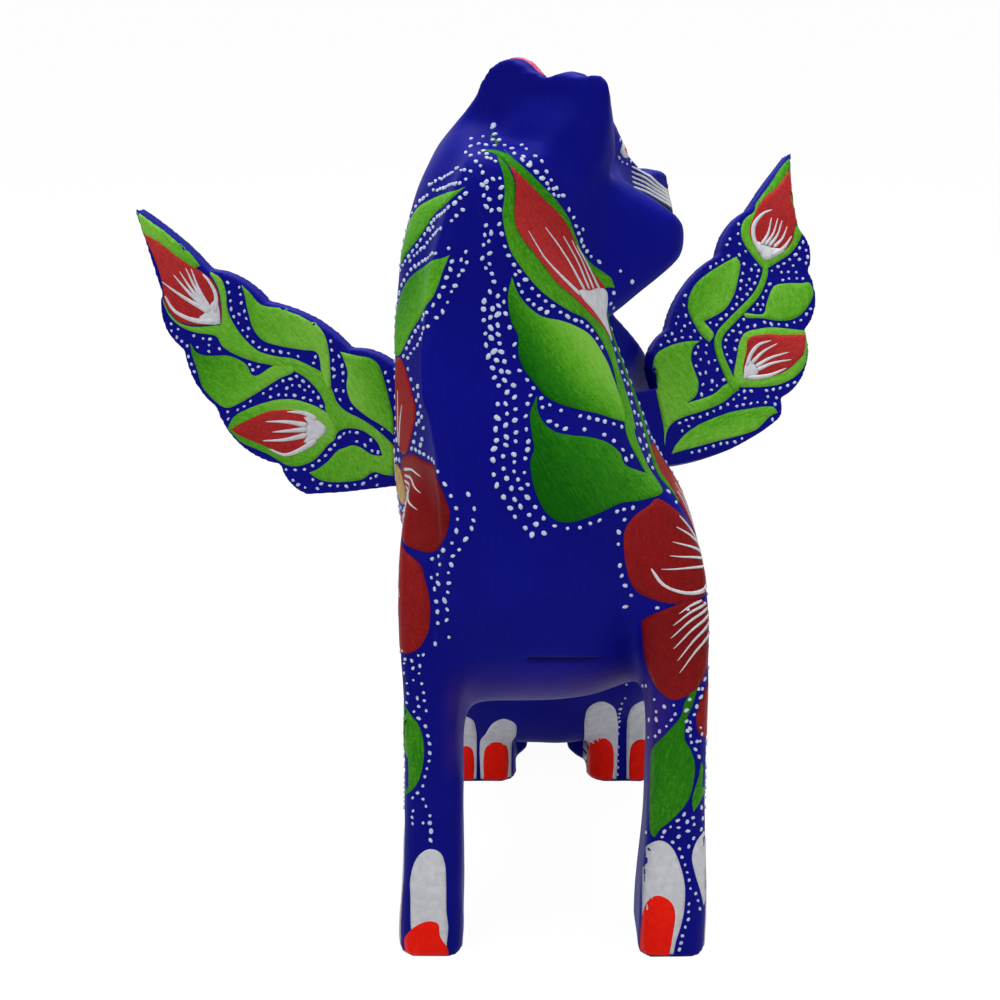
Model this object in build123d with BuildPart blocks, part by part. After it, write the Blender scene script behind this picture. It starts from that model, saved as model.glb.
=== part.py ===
from build123d import *

import os
from math import cos, radians, sin

# Seated winged animal, looking back over its left shoulder, carved from wood.
# Modelling frame: X to the animal's left, Y from its chest to its tail, Z up, with the fronts of
# the front paws at Y = 0 and the ground at Z = 0. The finished pieces are moved once, at the
# end, so that the origin is under the middle of the whole figure.

# ---------------------------------------------------------------- driving sizes (mm)

# Trunk and neck: oval sections from the seat, up the back, to the top of the neck.
# (low end X, Y, Z), (high end X, Y, Z), half width
trunk_sections = [
    ((0.0, 122.0, 1.0), (0.0, 150.0, 24.0), 24.0),
    ((0.0, 99.0, 12.0), (0.0, 147.0, 62.0), 31.0),
    ((0.0, 84.0, 37.0), (-0.5, 130.0, 87.0), 33.0),
    ((0.0, 54.0, 56.0), (-2.0, 103.0, 114.0), 35.5),
    ((0.0, 19.0, 65.0), (-6.0, 80.0, 136.0), 36.5),
    ((-1.5, 2.5, 95.0), (-11.5, 66.0, 150.0), 32.5),
    ((-8.5, 5.0, 135.0), (-15.5, 56.0, 166.0), 27.0),
    ((-14.0, 13.5, 171.0), (-17.0, 52.5, 186.0), 22.0),
    ((-12.0, 27.0, 203.0), (-12.5, 49.0, 209.0), 12.0),
]
trunk_fullness = 0.78

# Front legs: upright columns that lean back into the shoulders at the top.
# (height, middle X, front Y, width, depth)
leg_corner = 5.0
left_leg_sections = [
    (0.0, 29.7, 0.0, 17.4, 25.0),
    (14.0, 29.8, 0.0, 16.8, 25.0),
    (40.0, 30.0, 0.5, 14.6, 24.0),
    (72.0, 29.5, 0.5, 15.0, 31.0),
    (98.0, 28.0, 4.0, 16.0, 36.0),
    (122.0, 22.0, 15.0, 12.0, 30.0),
]
right_leg_sections = [
    (0.0, -31.9, 0.0, 15.8, 25.0),
    (14.0, -31.7, 0.0, 15.8, 25.0),
    (40.0, -31.0, 0.5, 14.6, 24.0),
    (72.0, -30.9, 0.5, 15.0, 31.0),
    (98.0, -31.0, 4.0, 16.0, 36.0),
    (122.0, -30.0, 15.0, 12.0, 30.0),
]

# Hind legs: a block of a foot under a rounded haunch
left_foot_inner = 11.6
right_foot_inner = 9.6
foot_sections = [
    (0.0, 97.0, 42.0, 21.0),
    (12.0, 97.0, 42.0, 21.0),
    (24.0, 99.0, 38.0, 20.0),
    (38.0, 106.0, 26.0, 16.0),
]
foot_corner = 6.0
# (X, half length, half height) across the haunch, outward
haunch_sections = [
    (6.0, 27.0, 33.0),
    (18.0, 31.0, 37.5),
    (30.0, 27.5, 33.0),
    (37.0, 20.0, 24.5),
    (41.0, 9.0, 11.0),
]
haunch_middle_y = 117.0
haunch_middle_z = 42.0
haunch_slant = 20.0
haunch_fullness = 0.74

# Head, in its own frame: X to its right, Y forward, Z up, turned about the vertical
head_position = (-2.0, 35.0, 190.0)
head_turn = -34.0
# (forward, half width, middle height, half height)
skull_sections = [
    (-9.0, 9.0, 4.0, 14.0),
    (-5.0, 12.5, 2.0, 21.0),
    (5.0, 12.0, 0.0, 24.5),
    (17.0, 11.0, -3.0, 20.7),
    (26.0, 10.0, -7.0, 13.6),
    (36.0, 9.2, -9.5, 10.4),
    (47.0, 7.2, -12.5, 7.2),
]
skull_fullness = 0.75
# The ruff of the right cheek. The left cheek lies against the neck and has none.
ruff_root = (8.0, 6.0, -13.0)
ruff_root_size = (15.0, 40.0)
ruff_tip = (27.5, 16.0, -10.0)
ruff_tip_size = (8.0, 11.0)
ruff_corner = 3.0

# Seat between neck and head, and the dowel across it
seat_point = (-4.0, 32.0, 188.0)
seat_normal = (0.80, 0.46, 0.38)
dowel_radius = 4.5
dowel_length = 24.0
dowel_clearance = 0.05
dowel_chamfer = 1.0

# Ears. Each has its own top and reach, as two carved by hand do.
ear_thickness = 6.0
ear_back = -5.0
ear_foot = 18.4
ear_inner = 0.8
left_ear_reach = 17.0
left_ear_top = 30.6
left_ear_drop = 3.5
right_ear_reach = 14.0
right_ear_top = 29.0
right_ear_drop = 0.5
ear_bowl_radius = 6.0
ear_bowl_depth = 2.0
ear_bowl_drop = 6.0
ear_peg_radius = 1.6
ear_peg_back = 1.8
ear_peg_inset = 2.5
ear_peg_length = 14.0

# Wings: thin boards with scalloped edges. Each starts at the top of the root, runs out to the
# tip and back to the bottom of the root: corners, and the crown of the scallop after each.
wing_thickness = 5.0
tongue_length = 11.0
slot_clearance = 0.15
slot_runout = 8.0
right_wing_root = (-36.0, 62.0, 118.0)
right_wing_sweep = 18.0
right_wing_lean = 6.0
right_wing_corners = [
    (2.0, 13.5), (19.5, 24.0), (43.5, 34.5), (60.0, 42.0), (81.5, 57.0),
    (73.5, 34.5), (67.0, 20.0), (57.5, 5.0), (38.5, -9.0), (30.5, -16.5), (5.5, -11.5),
]
right_wing_crowns = [
    (10.3, 22.9), (32.0, 31.9), (51.5, 40.3), (70.0, 50.0), (77.5, 46.0),
    (72.5, 25.5), (64.0, 11.5), (50.0, -5.0), (35.5, -14.0), (17.5, -14.2),
]
left_wing_root = (28.3, 59.2, 118.0)
left_wing_sweep = 28.0
left_wing_lean = 28.0
left_wing_corners = [
    (1.8, 15.5), (9.5, 31.0), (30.5, 49.0), (43.5, 60.5), (61.0, 75.0),
    (57.5, 53.0), (57.0, 41.0), (51.5, 25.0), (38.5, 7.5), (36.5, 2.0), (-1.0, -5.0),
]
left_wing_crowns = [
    (3.5, 26.5), (17.0, 41.0), (34.5, 55.0), (51.5, 67.5), (58.0, 63.0),
    (59.6, 46.5), (57.2, 32.0), (47.8, 13.0), (38.3, 4.5), (20.0, -3.6),
]

# Tail: an S that rises behind the back.  (X, Y, Z, radius)
tail_sections = [
    (2.0, 149.0, 36.0, 7.5),
    (2.0, 153.0, 39.0, 7.45),
    (2.0, 160.2, 44.4, 7.4),
    (1.5, 167.5, 60.0, 7.2),
    (-3.0, 166.0, 80.0, 6.6),
    (-9.0, 160.0, 97.0, 6.0),
    (-13.0, 158.5, 113.0, 5.4),
    (-14.0, 163.5, 126.0, 4.4),
    (-14.0, 170.0, 134.0, 1.8),
]
tail_axis = (0.0, 0.80, 0.60)
tail_peg_radius = 4.0
tail_peg_length = 12.0
tail_seat_depth = 3.0
peg_clearance = 0.08
seat_gap = 0.2
mouth_gap = 0.5
tail_runout = 9.0
hole_extra = 0.5


# ---------------------------------------------------------------- shared profiles

def oval(half_width, half_height, fullness):
    """A closed smooth outline, fuller at its corners than an ellipse when fullness is over 0.71."""
    corner_x = half_width * fullness
    corner_y = half_height * fullness
    for turn in (-1, 1):
        Spline(
            (0, -turn * half_height),
            (turn * corner_x, -turn * corner_y),
            (turn * half_width, 0),
            (turn * corner_x, turn * corner_y),
            (0, turn * half_height),
            tangents=[(turn, 0), (-turn, 0)],
        )


def crosswise_plane(low, high):
    """The plane across the body that holds both points, with its own Y from low to high."""
    along = (high - low).normalized()
    normal = Vector(1, 0, 0).cross(along)
    return Plane(origin=(low + high) / 2, x_dir=along.cross(normal), z_dir=normal)


def wing_plane(root, side, sweep, lean):
    """The plane of a wing: its X runs outward and back, its Y up and back."""
    outward = Vector(side * cos(radians(sweep)), sin(radians(sweep)), 0)
    backward = Vector(-side * sin(radians(sweep)), cos(radians(sweep)), 0)
    upward = Vector(0, 0, cos(radians(lean))) + backward * sin(radians(lean))
    return Plane(origin=root, x_dir=outward, z_dir=outward.cross(upward))


head_frame = Plane(
    origin=head_position,
    x_dir=(cos(radians(head_turn)), sin(radians(head_turn)), 0),
    z_dir=(0, 0, 1),
)


def head_plane(forward, up=0.0):
    """A plane across the head, seen from behind, at a distance forward of the ears."""
    return Plane(
        origin=head_frame.from_local_coords(Vector(0, forward, up)),
        x_dir=head_frame.x_dir,
        z_dir=-head_frame.y_dir,
    )


seat_plane = Plane(origin=seat_point, z_dir=seat_normal)

# ---------------------------------------------------------------- neck dowel

with BuildPart() as neck_dowel:
    with BuildSketch(seat_plane):
        Circle(dowel_radius)
    extrude(amount=dowel_length / 2, both=True)
    chamfer(neck_dowel.edges().filter_by(GeomType.CIRCLE), dowel_chamfer)

with BuildPart() as dowel_hole:
    with BuildSketch(seat_plane):
        Circle(dowel_radius + dowel_clearance)
    extrude(amount=dowel_length / 2 + hole_extra, both=True)

# ---------------------------------------------------------------- head

with BuildPart() as head_blank:
    for forward, half_width, middle, half_height in skull_sections:
        with BuildSketch(head_plane(forward, middle)):
            with BuildLine():
                oval(half_width, half_height, skull_fullness)
            make_face()
    loft()
    for place, size in ((ruff_root, ruff_root_size), (ruff_tip, ruff_tip_size)):
        centre = head_frame.from_local_coords(Vector(place))
        with BuildSketch(Plane(origin=centre, x_dir=head_frame.y_dir, z_dir=head_frame.x_dir)):
            RectangleRounded(size[0], size[1], ruff_corner)
    loft()
    split(bisect_by=seat_plane, keep=Keep.TOP)

# ---------------------------------------------------------------- ears


def ear_peg(side, reach, top, radius, length):
    """The round peg inside an ear, down into the head, or the hole for it."""
    middle_x = side * (ear_inner + reach) / 2
    start = Vector(middle_x, ear_back + ear_peg_back, top - ear_peg_inset)
    with BuildPart() as peg:
        with BuildSketch(Plane(origin=head_frame.from_local_coords(start), z_dir=(0, 0, -1))):
            Circle(radius)
        extrude(amount=length)
    return peg.part


def carve_ear(side, reach, top, drop):
    """One ear: a plate hollowed at the front and scribed to the head, with its peg."""
    inner = side * ear_inner
    outer = side * reach
    with BuildPart() as ear:
        with BuildSketch(head_plane(ear_back)):
            with BuildLine():
                Polyline((inner, top - drop), (inner, ear_foot), (outer, ear_foot))
                Spline(
                    (outer, ear_foot),
                    (outer - 0.6 * side, top - 3),
                    (outer - 3 * side, top),
                    (inner, top - drop),
                )
            make_face()
        extrude(amount=-ear_thickness)
        bowl_front = ear_back + ear_thickness - ear_bowl_depth + ear_bowl_radius
        bowl_middle = Vector((inner + outer) / 2, bowl_front, top - ear_bowl_drop)
        with Locations(head_frame.from_local_coords(bowl_middle)):
            Sphere(ear_bowl_radius, mode=Mode.SUBTRACT)
        add(head_blank.part, mode=Mode.SUBTRACT)
        add(ear_peg(side, reach, top, ear_peg_radius, ear_peg_length))
    return ear


left_ear = carve_ear(-1, left_ear_reach, left_ear_top, left_ear_drop)
right_ear = carve_ear(1, right_ear_reach, right_ear_top, right_ear_drop)

with BuildPart() as head:
    add(head_blank.part)
    add(dowel_hole.part, mode=Mode.SUBTRACT)
    hole_radius = ear_peg_radius + peg_clearance
    hole_length = ear_peg_length + hole_extra
    add(ear_peg(-1, left_ear_reach, left_ear_top, hole_radius, hole_length), mode=Mode.SUBTRACT)
    add(ear_peg(1, right_ear_reach, right_ear_top, hole_radius, hole_length), mode=Mode.SUBTRACT)

# ---------------------------------------------------------------- wings


def carve_wing(plane, corners, crowns):
    """A thin board with scalloped edges, whose straight root is the tongue for its slot."""
    with BuildPart() as wing:
        with BuildSketch(plane):
            with BuildLine():
                for start, crown, end in zip(corners, crowns, corners[1:]):
                    ThreePointArc(start, crown, end)
                top_x, top_y = corners[0]
                low_x, low_y = corners[-1]
                Polyline(
                    (low_x, low_y),
                    (low_x - tongue_length, low_y),
                    (low_x - tongue_length, top_y),
                    (top_x, top_y),
                )
            make_face()
        extrude(amount=wing_thickness / 2, both=True)
    return wing


def slot_for(plane, corners):
    """The room that a wing's tongue needs in the body, open towards the wing."""
    top_y = corners[0][1]
    low_x, low_y = corners[-1]
    end = low_x - tongue_length - hole_extra
    outer = low_x + slot_runout
    with BuildPart() as slot:
        with BuildSketch(plane):
            with Locations(((end + outer) / 2, (top_y + low_y) / 2)):
                Rectangle(outer - end, top_y - low_y + 2 * slot_clearance)
        extrude(amount=wing_thickness / 2 + slot_clearance, both=True)
    return slot


right_wing_plane = wing_plane(right_wing_root, -1, right_wing_sweep, right_wing_lean)
left_wing_plane = wing_plane(left_wing_root, 1, left_wing_sweep, left_wing_lean)
right_wing = carve_wing(right_wing_plane, right_wing_corners, right_wing_crowns)
left_wing = carve_wing(left_wing_plane, left_wing_corners, left_wing_crowns)

right_slot = slot_for(right_wing_plane, right_wing_corners)
left_slot = slot_for(left_wing_plane, left_wing_corners)

# ---------------------------------------------------------------- tail

tail_path = [Vector(x, y, z) for x, y, z, radius in tail_sections]
tail_seat = Plane(origin=tail_path[0], z_dir=tail_axis)

with BuildPart() as tail:
    for index, (x, y, z, radius) in enumerate(tail_sections):
        before = tail_path[max(index - 1, 0)]
        after = tail_path[min(index + 1, len(tail_path) - 1)]
        heading = Vector(tail_axis) if index == 0 else after - before
        with BuildSketch(Plane(origin=tail_path[index], x_dir=(1, 0, 0), z_dir=heading)):
            Circle(radius)
    loft()
    with BuildSketch(tail_seat):
        Circle(tail_peg_radius)
    extrude(amount=-tail_peg_length)

with BuildPart() as tail_hole:
    with BuildSketch(tail_seat.offset(-seat_gap)):
        Circle(tail_sections[0][3] + mouth_gap)
    extrude(amount=tail_seat_depth + tail_runout)
    with BuildSketch(tail_seat):
        Circle(tail_peg_radius + peg_clearance)
    extrude(amount=-tail_peg_length - hole_extra)

# ---------------------------------------------------------------- trunk, neck and legs

haunch_along = Vector(0, cos(radians(haunch_slant)), sin(radians(haunch_slant)))


def carve_legs(side, leg_sections, foot_inner):
    """The front leg, haunch and hind foot of one side."""
    with BuildPart() as legs:
        for height, middle_x, front, width, depth in leg_sections:
            with BuildSketch(Plane((middle_x, front + depth / 2, height))):
                RectangleRounded(width, depth, leg_corner)
        loft()
        for x, half_length, half_height in haunch_sections:
            middle = Vector(side * x, haunch_middle_y, haunch_middle_z)
            with BuildSketch(Plane(origin=middle, x_dir=haunch_along, z_dir=(1, 0, 0))):
                with BuildLine():
                    oval(half_length, half_height, haunch_fullness)
                make_face()
        loft()
        for height, front, length, width in foot_sections:
            middle = Vector(side * (foot_inner + width / 2), front + length / 2, height)
            with BuildSketch(Plane(middle)):
                RectangleRounded(width, length, foot_corner)
        loft()
    return legs


left_legs = carve_legs(1, left_leg_sections, left_foot_inner)
right_legs = carve_legs(-1, right_leg_sections, right_foot_inner)

with BuildPart() as body:
    for low, high, half_width in trunk_sections:
        low = Vector(low)
        high = Vector(high)
        with BuildSketch(crosswise_plane(low, high)):
            with BuildLine():
                oval(half_width, (high - low).length / 2, trunk_fullness)
            make_face()
    loft()
    add(left_legs.part)
    add(right_legs.part)
    add(head_blank.part, mode=Mode.SUBTRACT)
    add(dowel_hole.part, mode=Mode.SUBTRACT)
    add(right_slot.part, mode=Mode.SUBTRACT)
    add(left_slot.part, mode=Mode.SUBTRACT)
    add(tail_hole.part, mode=Mode.SUBTRACT)

# ---------------------------------------------------------------- origin and files

pieces = {
    "body": body,
    "head": head,
    "neck_dowel": neck_dowel,
    "left_ear": left_ear,
    "right_ear": right_ear,
    "left_wing": left_wing,
    "right_wing": right_wing,
    "tail": tail,
}
boxes = [piece.part.bounding_box() for piece in pieces.values()]
middle_x = (min(box.min.X for box in boxes) + max(box.max.X for box in boxes)) / 2
middle_y = (min(box.min.Y for box in boxes) + max(box.max.Y for box in boxes)) / 2
to_origin = Location((-round(middle_x), -round(middle_y), 0))

os.makedirs("parts", exist_ok=True)
for name, piece in pieces.items():
    piece.part = piece.part.moved(to_origin)
    piece.part.label = name
    export_step(piece.part, f"parts/{name}.step")

print("modelling frame's origin is now at", to_origin.position)
for name, piece in pieces.items():
    print(name, len(piece.part.solids()), piece.part.is_valid, round(piece.part.volume))
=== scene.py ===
from math import cos, pi, radians, sin

import bmesh
import bpy
import numpy as np
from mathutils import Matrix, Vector, noise
from mathutils.bvhtree import BVHTree
from mathutils.geometry import delaunay_2d_cdt


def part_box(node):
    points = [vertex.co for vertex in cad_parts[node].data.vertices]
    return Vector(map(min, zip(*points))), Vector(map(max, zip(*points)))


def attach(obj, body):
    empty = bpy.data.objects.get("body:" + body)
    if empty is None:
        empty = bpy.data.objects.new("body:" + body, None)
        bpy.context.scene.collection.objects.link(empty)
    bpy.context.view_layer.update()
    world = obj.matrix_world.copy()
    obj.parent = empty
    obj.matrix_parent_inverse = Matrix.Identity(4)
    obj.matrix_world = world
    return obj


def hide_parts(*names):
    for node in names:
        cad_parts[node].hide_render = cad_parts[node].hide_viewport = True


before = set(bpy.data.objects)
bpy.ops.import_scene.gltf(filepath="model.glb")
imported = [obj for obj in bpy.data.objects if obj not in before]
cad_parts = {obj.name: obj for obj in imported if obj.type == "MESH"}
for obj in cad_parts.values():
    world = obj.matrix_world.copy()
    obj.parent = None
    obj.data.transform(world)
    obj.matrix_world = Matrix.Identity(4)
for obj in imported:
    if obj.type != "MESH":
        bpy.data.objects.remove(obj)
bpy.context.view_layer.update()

# Lengths below are millimetres in the modelling frame: X to the animal's left, Y from chest to
# tail, Z up, the fronts of the front paws at Y = 0. The dowel's middle ties it to the loaded frame.
MM = 0.001
DOWEL_MIDDLE = np.array([-4.0, 32.0, 188.0])
low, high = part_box("neck_dowel")
SHIFT = (np.array(low) + np.array(high)) / 2 / MM - DOWEL_MIDDLE


def metres(points):
    return (np.asarray(points, float) + SHIFT) * MM


# ---------------------------------------------------------------- camera

CAMERA_TARGET = (-14.35, 50.0, 106.7)
CAMERA_DISTANCE = 560.0
CAMERA_ELEVATION = 20.0
CAMERA_LENS = 77.2
CAMERA_SENSOR = 36.0

camera = bpy.data.objects.new("camera", bpy.data.cameras.new("camera"))
bpy.context.scene.collection.objects.link(camera)
elevation = radians(CAMERA_ELEVATION)
back_off = np.array([0.0, -cos(elevation), sin(elevation)]) * CAMERA_DISTANCE
camera.location = metres(np.array(CAMERA_TARGET) + back_off)
camera.rotation_euler = (pi / 2 - elevation, 0, 0)
camera.data.lens = CAMERA_LENS
camera.data.sensor_width = CAMERA_SENSOR
camera.data.clip_start = 0.01
bpy.context.scene.camera = camera

# ---------------------------------------------------------------- materials


class Nodes:
    """A small helper that builds one material's node tree."""

    def __init__(self, name):
        self.material = bpy.data.materials.new(name)
        self.material.use_nodes = True
        self.tree = self.material.node_tree
        self.shader = self.tree.nodes["Principled BSDF"]
        self.place = self.add("ShaderNodeTexCoord").outputs["Object"]

    def add(self, kind, **values):
        node = self.tree.nodes.new(kind)
        for key, value in values.items():
            setattr(node, key, value)
        return node

    def link(self, output, socket):
        self.tree.links.new(output, socket)

    def stretched(self, scale):
        mapping = self.add("ShaderNodeMapping")
        mapping.inputs["Scale"].default_value = scale
        self.link(self.place, mapping.inputs["Vector"])
        return mapping.outputs["Vector"]

    def noise(self, scale, detail=4.0, rough=0.55, vector=None):
        node = self.add("ShaderNodeTexNoise")
        node.inputs["Scale"].default_value = scale
        node.inputs["Detail"].default_value = detail
        node.inputs["Roughness"].default_value = rough
        self.link(vector or self.place, node.inputs["Vector"])
        return node.outputs["Fac"]

    def ramp(self, value, stops):
        node = self.add("ShaderNodeValToRGB")
        elements = node.color_ramp.elements
        while len(elements) < len(stops):
            elements.new(0.5)
        for element, (position, colour) in zip(elements, stops):
            element.position = position
            element.color = (*colour, 1.0)
        self.link(value, node.inputs["Fac"])
        return node.outputs["Color"]

    def maths(self, operation, first, second):
        node = self.add("ShaderNodeMath", operation=operation)
        for socket, value in zip(node.inputs, (first, second)):
            if isinstance(value, (int, float)):
                socket.default_value = value
            else:
                self.link(value, socket)
        return node.outputs[0]

    def mix(self, factor, first, second, blend="MIX"):
        node = self.add("ShaderNodeMix", data_type="RGBA", blend_type=blend)
        sockets = (node.inputs[0], node.inputs[6], node.inputs[7])
        for socket, value in zip(sockets, (factor, first, second)):
            if isinstance(value, (int, float)):
                socket.default_value = value
            elif isinstance(value, tuple):
                socket.default_value = (*value, 1.0)
            else:
                self.link(value, socket)
        return node.outputs[2]

    def attribute(self, name):
        return self.add("ShaderNodeAttribute", attribute_name=name).outputs["Fac"]

    def bump(self, height, distance, strength=1.0):
        node = self.add("ShaderNodeBump")
        node.inputs["Distance"].default_value = distance
        node.inputs["Strength"].default_value = strength
        self.link(height, node.inputs["Height"])
        self.link(node.outputs["Normal"], self.shader.inputs["Normal"])

    def gloss(self, roughness, specular=0.05):
        self.shader.inputs["Roughness"].default_value = roughness
        self.shader.inputs["Specular IOR Level"].default_value = specular

    def colour(self, output):
        self.link(output, self.shader.inputs["Base Color"])


def linear(red, green, blue):
    """A colour written as on a screen, 0 to 255, as Blender needs it."""
    return tuple(
        ((c / 255 + 0.055) / 1.055) ** 2.4 if c > 10 else c / 255 / 12.92
        for c in (red, green, blue)
    )


def blue_paint():
    n = Nodes("blue_paint")
    wide = n.noise(28.0, 3.0)
    grain = n.noise(900.0, 5.0, vector=n.stretched((1.0, 1.0, 0.22)))
    colour = n.ramp(wide, [(0.3, linear(7, 9, 122)), (0.7, linear(11, 14, 138))])
    colour = n.mix(
        n.ramp(grain, [(0.55, (0, 0, 0)), (0.8, (0.25, 0.25, 0.25))]), colour, linear(28, 36, 160),
    )
    # painted sheen: the lower belly is mixed towards purple, standing for light thrown up from the
    # floor
    painted_sheen = n.maths(
        "MULTIPLY", n.attribute("belly_sheen"), n.noise(60.0, 4.0, vector=n.stretched((0.4, 1.0, 1.6))),
    )
    colour = n.mix(painted_sheen, colour, linear(84, 52, 118))
    # the crack is real; its near-black colour is painted shade inside the narrow groove
    colour = n.mix(n.attribute("crack"), colour, linear(5, 5, 26))
    n.colour(colour)
    n.gloss(0.5)
    n.bump(n.maths("ADD", grain, n.noise(260.0, 3.0)), 0.00012, 0.6)
    return n.material


def brushed_paint(name, stops, roughness=0.42, streaks=0.5):
    """Paint laid with a brush along the shape: fine streaks, lighter where light says so."""
    n = Nodes(name)
    vector = n.add("ShaderNodeCombineXYZ")
    n.link(n.maths("MULTIPLY", n.attribute("along"), 0.25), vector.inputs[0])
    n.link(n.maths("MULTIPLY", n.attribute("across"), 1.6), vector.inputs[1])
    n.link(n.maths("MULTIPLY", n.attribute("tone"), 37.0), vector.inputs[2])
    streak = n.noise(1.6, 6.0, 0.62, vector=vector.outputs[0])
    fleck = n.noise(1300.0, 3.0)
    value = n.maths("ADD", n.maths("MULTIPLY", streak, streaks), n.maths("MULTIPLY", fleck, 0.3))
    value = n.maths("ADD", n.maths("SUBTRACT", value, streaks * 0.5 + 0.15), n.attribute("light"))
    n.colour(n.ramp(value, stops))
    n.gloss(roughness)
    n.bump(n.maths("ADD", streak, n.maths("MULTIPLY", fleck, 0.8)), 0.00016, 0.8)
    return n.material


def plain_paint(name, first, second, roughness=0.45):
    n = Nodes(name)
    n.colour(n.ramp(n.noise(500.0, 3.0), [(0.35, first), (0.65, second)]))
    n.gloss(roughness)
    n.bump(n.noise(1500.0, 2.0), 0.0001, 0.6)
    return n.material


def bare_wood():
    n = Nodes("bare_wood")
    rings = n.noise(90.0, 6.0, vector=n.stretched((1.0, 1.0, 0.08)))
    n.colour(n.ramp(rings, [(0.35, linear(176, 138, 92)), (0.65, linear(214, 182, 138))]))
    n.gloss(0.7)
    n.bump(rings, 0.0002)
    return n.material


BLUE = blue_paint()
GREENS = [
    (0.12, linear(10, 92, 6)), (0.38, linear(44, 130, 16)), (0.6, linear(92, 172, 36)),
    (0.85, linear(134, 202, 72)),
]
REDS = [
    (0.15, linear(108, 14, 16)), (0.42, linear(146, 26, 28)), (0.65, linear(186, 48, 50)),
    (0.9, linear(204, 82, 76)),
]
PAINTS = {
    "green": brushed_paint("green_paint", GREENS, streaks=0.55),
    "red": brushed_paint("red_paint", REDS, streaks=0.35),
    "white": plain_paint("white_paint", linear(206, 209, 214), linear(222, 224, 229)),
    "dots": plain_paint("dot_paint", linear(196, 206, 236), linear(218, 226, 246)),
    "orange": plain_paint("orange_paint", linear(248, 22, 10), linear(255, 34, 14), 0.34),
    "tan": plain_paint("tan_paint", linear(178, 140, 78), linear(206, 172, 104)),
    "pink": plain_paint("pink_paint", linear(196, 70, 108), linear(214, 110, 140)),
    "black": plain_paint("black_paint", linear(12, 12, 16), linear(24, 24, 30)),
}

# ---------------------------------------------------------------- skins


def mesh_arrays(mesh):
    verts = np.empty(len(mesh.vertices) * 3)
    mesh.vertices.foreach_get("co", verts)
    return verts.reshape(-1, 3)


def neighbour_mean(mesh, verts):
    """For each vertex, the mean of the vertices that share an edge with it."""
    pairs = np.empty(len(mesh.edges) * 2, int)
    mesh.edges.foreach_get("vertices", pairs)
    pairs = pairs.reshape(-1, 2)
    count = np.bincount(pairs.ravel(), minlength=len(verts)).astype(float)
    total = np.zeros_like(verts)
    for axis in range(3):
        total[:, axis] = np.bincount(pairs[:, 0], verts[pairs[:, 1], axis], len(verts))
        total[:, axis] += np.bincount(pairs[:, 1], verts[pairs[:, 0], axis], len(verts))
    return total / np.maximum(count, 1)[:, None]


def smooth(mesh, verts, rounds, weight=1.0):
    """Rounds of smoothing that keep the volume: each step in is followed by one out."""
    weight = np.reshape(weight * np.ones(len(verts)), (-1, 1))
    for step in [0.6, -0.61] * rounds:
        verts = verts + weight * step * (neighbour_mean(mesh, verts) - verts)
    return verts


def relax(mesh, verts, rounds, weight):
    """Rounds of plain smoothing, which fills creases."""
    weight = np.reshape(weight * np.ones(len(verts)), (-1, 1))
    for _ in range(rounds):
        verts = verts + weight * 0.6 * (neighbour_mean(mesh, verts) - verts)
    return verts


def band(value, start, end):
    """0 before start, 1 after end, smooth between them."""
    t = np.clip((value - start) / (end - start), 0, 1)
    return t * t * (3 - 2 * t)


def clay(points):
    """A convex lump round these places, as vertices in metres and faces."""
    lump = bmesh.new()
    for point in metres(np.array(points, float)):
        lump.verts.new(point)
    made = bmesh.ops.convex_hull(lump, input=lump.verts)
    bmesh.ops.delete(lump, geom=made["geom_interior"], context="VERTS")
    lump.verts.index_update()
    verts = [tuple(v.co) for v in lump.verts]
    faces = [tuple(v.index for v in f.verts) for f in lump.faces]
    lump.free()
    return verts, faces


def remeshed(nodes, voxel, lumps=()):
    """One closed mesh round these CAD nodes and lumps of clay, in even facets."""
    data = bpy.data.meshes.new("joined")
    verts, faces = [], []
    for points in lumps:
        base = len(verts)
        lump_verts, lump_faces = clay(points)
        verts += lump_verts
        faces += [tuple(base + i for i in face) for face in lump_faces]
    for node in nodes:
        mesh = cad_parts[node].data
        base = len(verts)
        verts += [tuple(v.co) for v in mesh.vertices]
        faces += [tuple(base + i for i in p.vertices) for p in mesh.polygons]
    data.from_pydata(verts, [], faces)
    obj = bpy.data.objects.new("joined", data)
    bpy.context.scene.collection.objects.link(obj)
    modifier = obj.modifiers.new("remesh", "REMESH")
    modifier.mode = "VOXEL"
    modifier.voxel_size = voxel * MM
    result = bpy.data.meshes.new_from_object(
        obj.evaluated_get(bpy.context.evaluated_depsgraph_get()),
    )
    bpy.data.objects.remove(obj)
    return result


def one_shell(mesh):
    """Drops every closed shell but the largest, so no cavity is left between joined pieces."""
    pairs = np.empty(len(mesh.edges) * 2, int)
    mesh.edges.foreach_get("vertices", pairs)
    pairs = pairs.reshape(-1, 2)
    label = np.arange(len(mesh.vertices))
    while True:
        least = np.minimum(label[pairs[:, 0]], label[pairs[:, 1]])
        fresh = label.copy()
        np.minimum.at(fresh, pairs[:, 0], least)
        np.minimum.at(fresh, pairs[:, 1], least)
        fresh = fresh[fresh]
        if (fresh == label).all():
            break
        label = fresh
    keep = label == np.bincount(label).argmax()
    if keep.all():
        return mesh
    new_index = np.cumsum(keep) - 1
    verts = mesh_arrays(mesh)[keep]
    faces = [
        tuple(new_index[list(p.vertices)].tolist())
        for p in mesh.polygons if keep[p.vertices[0]]
    ]
    result = bpy.data.meshes.new("shell")
    result.from_pydata(verts.tolist(), [], faces)
    return result


# Unless it is given a seed, the noise starts from the clock and the tool marks change each run.
TOOL_MARK_SEED = 7
noise.seed_set(TOOL_MARK_SEED)


def carved(verts, depth, size):
    """Shallow tool marks: each vertex moves a little along the noise of its place."""
    moved = verts.copy()
    for i, (x, y, z) in enumerate(verts):
        moved[i] += depth * np.array(noise.noise_vector(Vector((x, y, z)) / size))
    return moved


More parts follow.
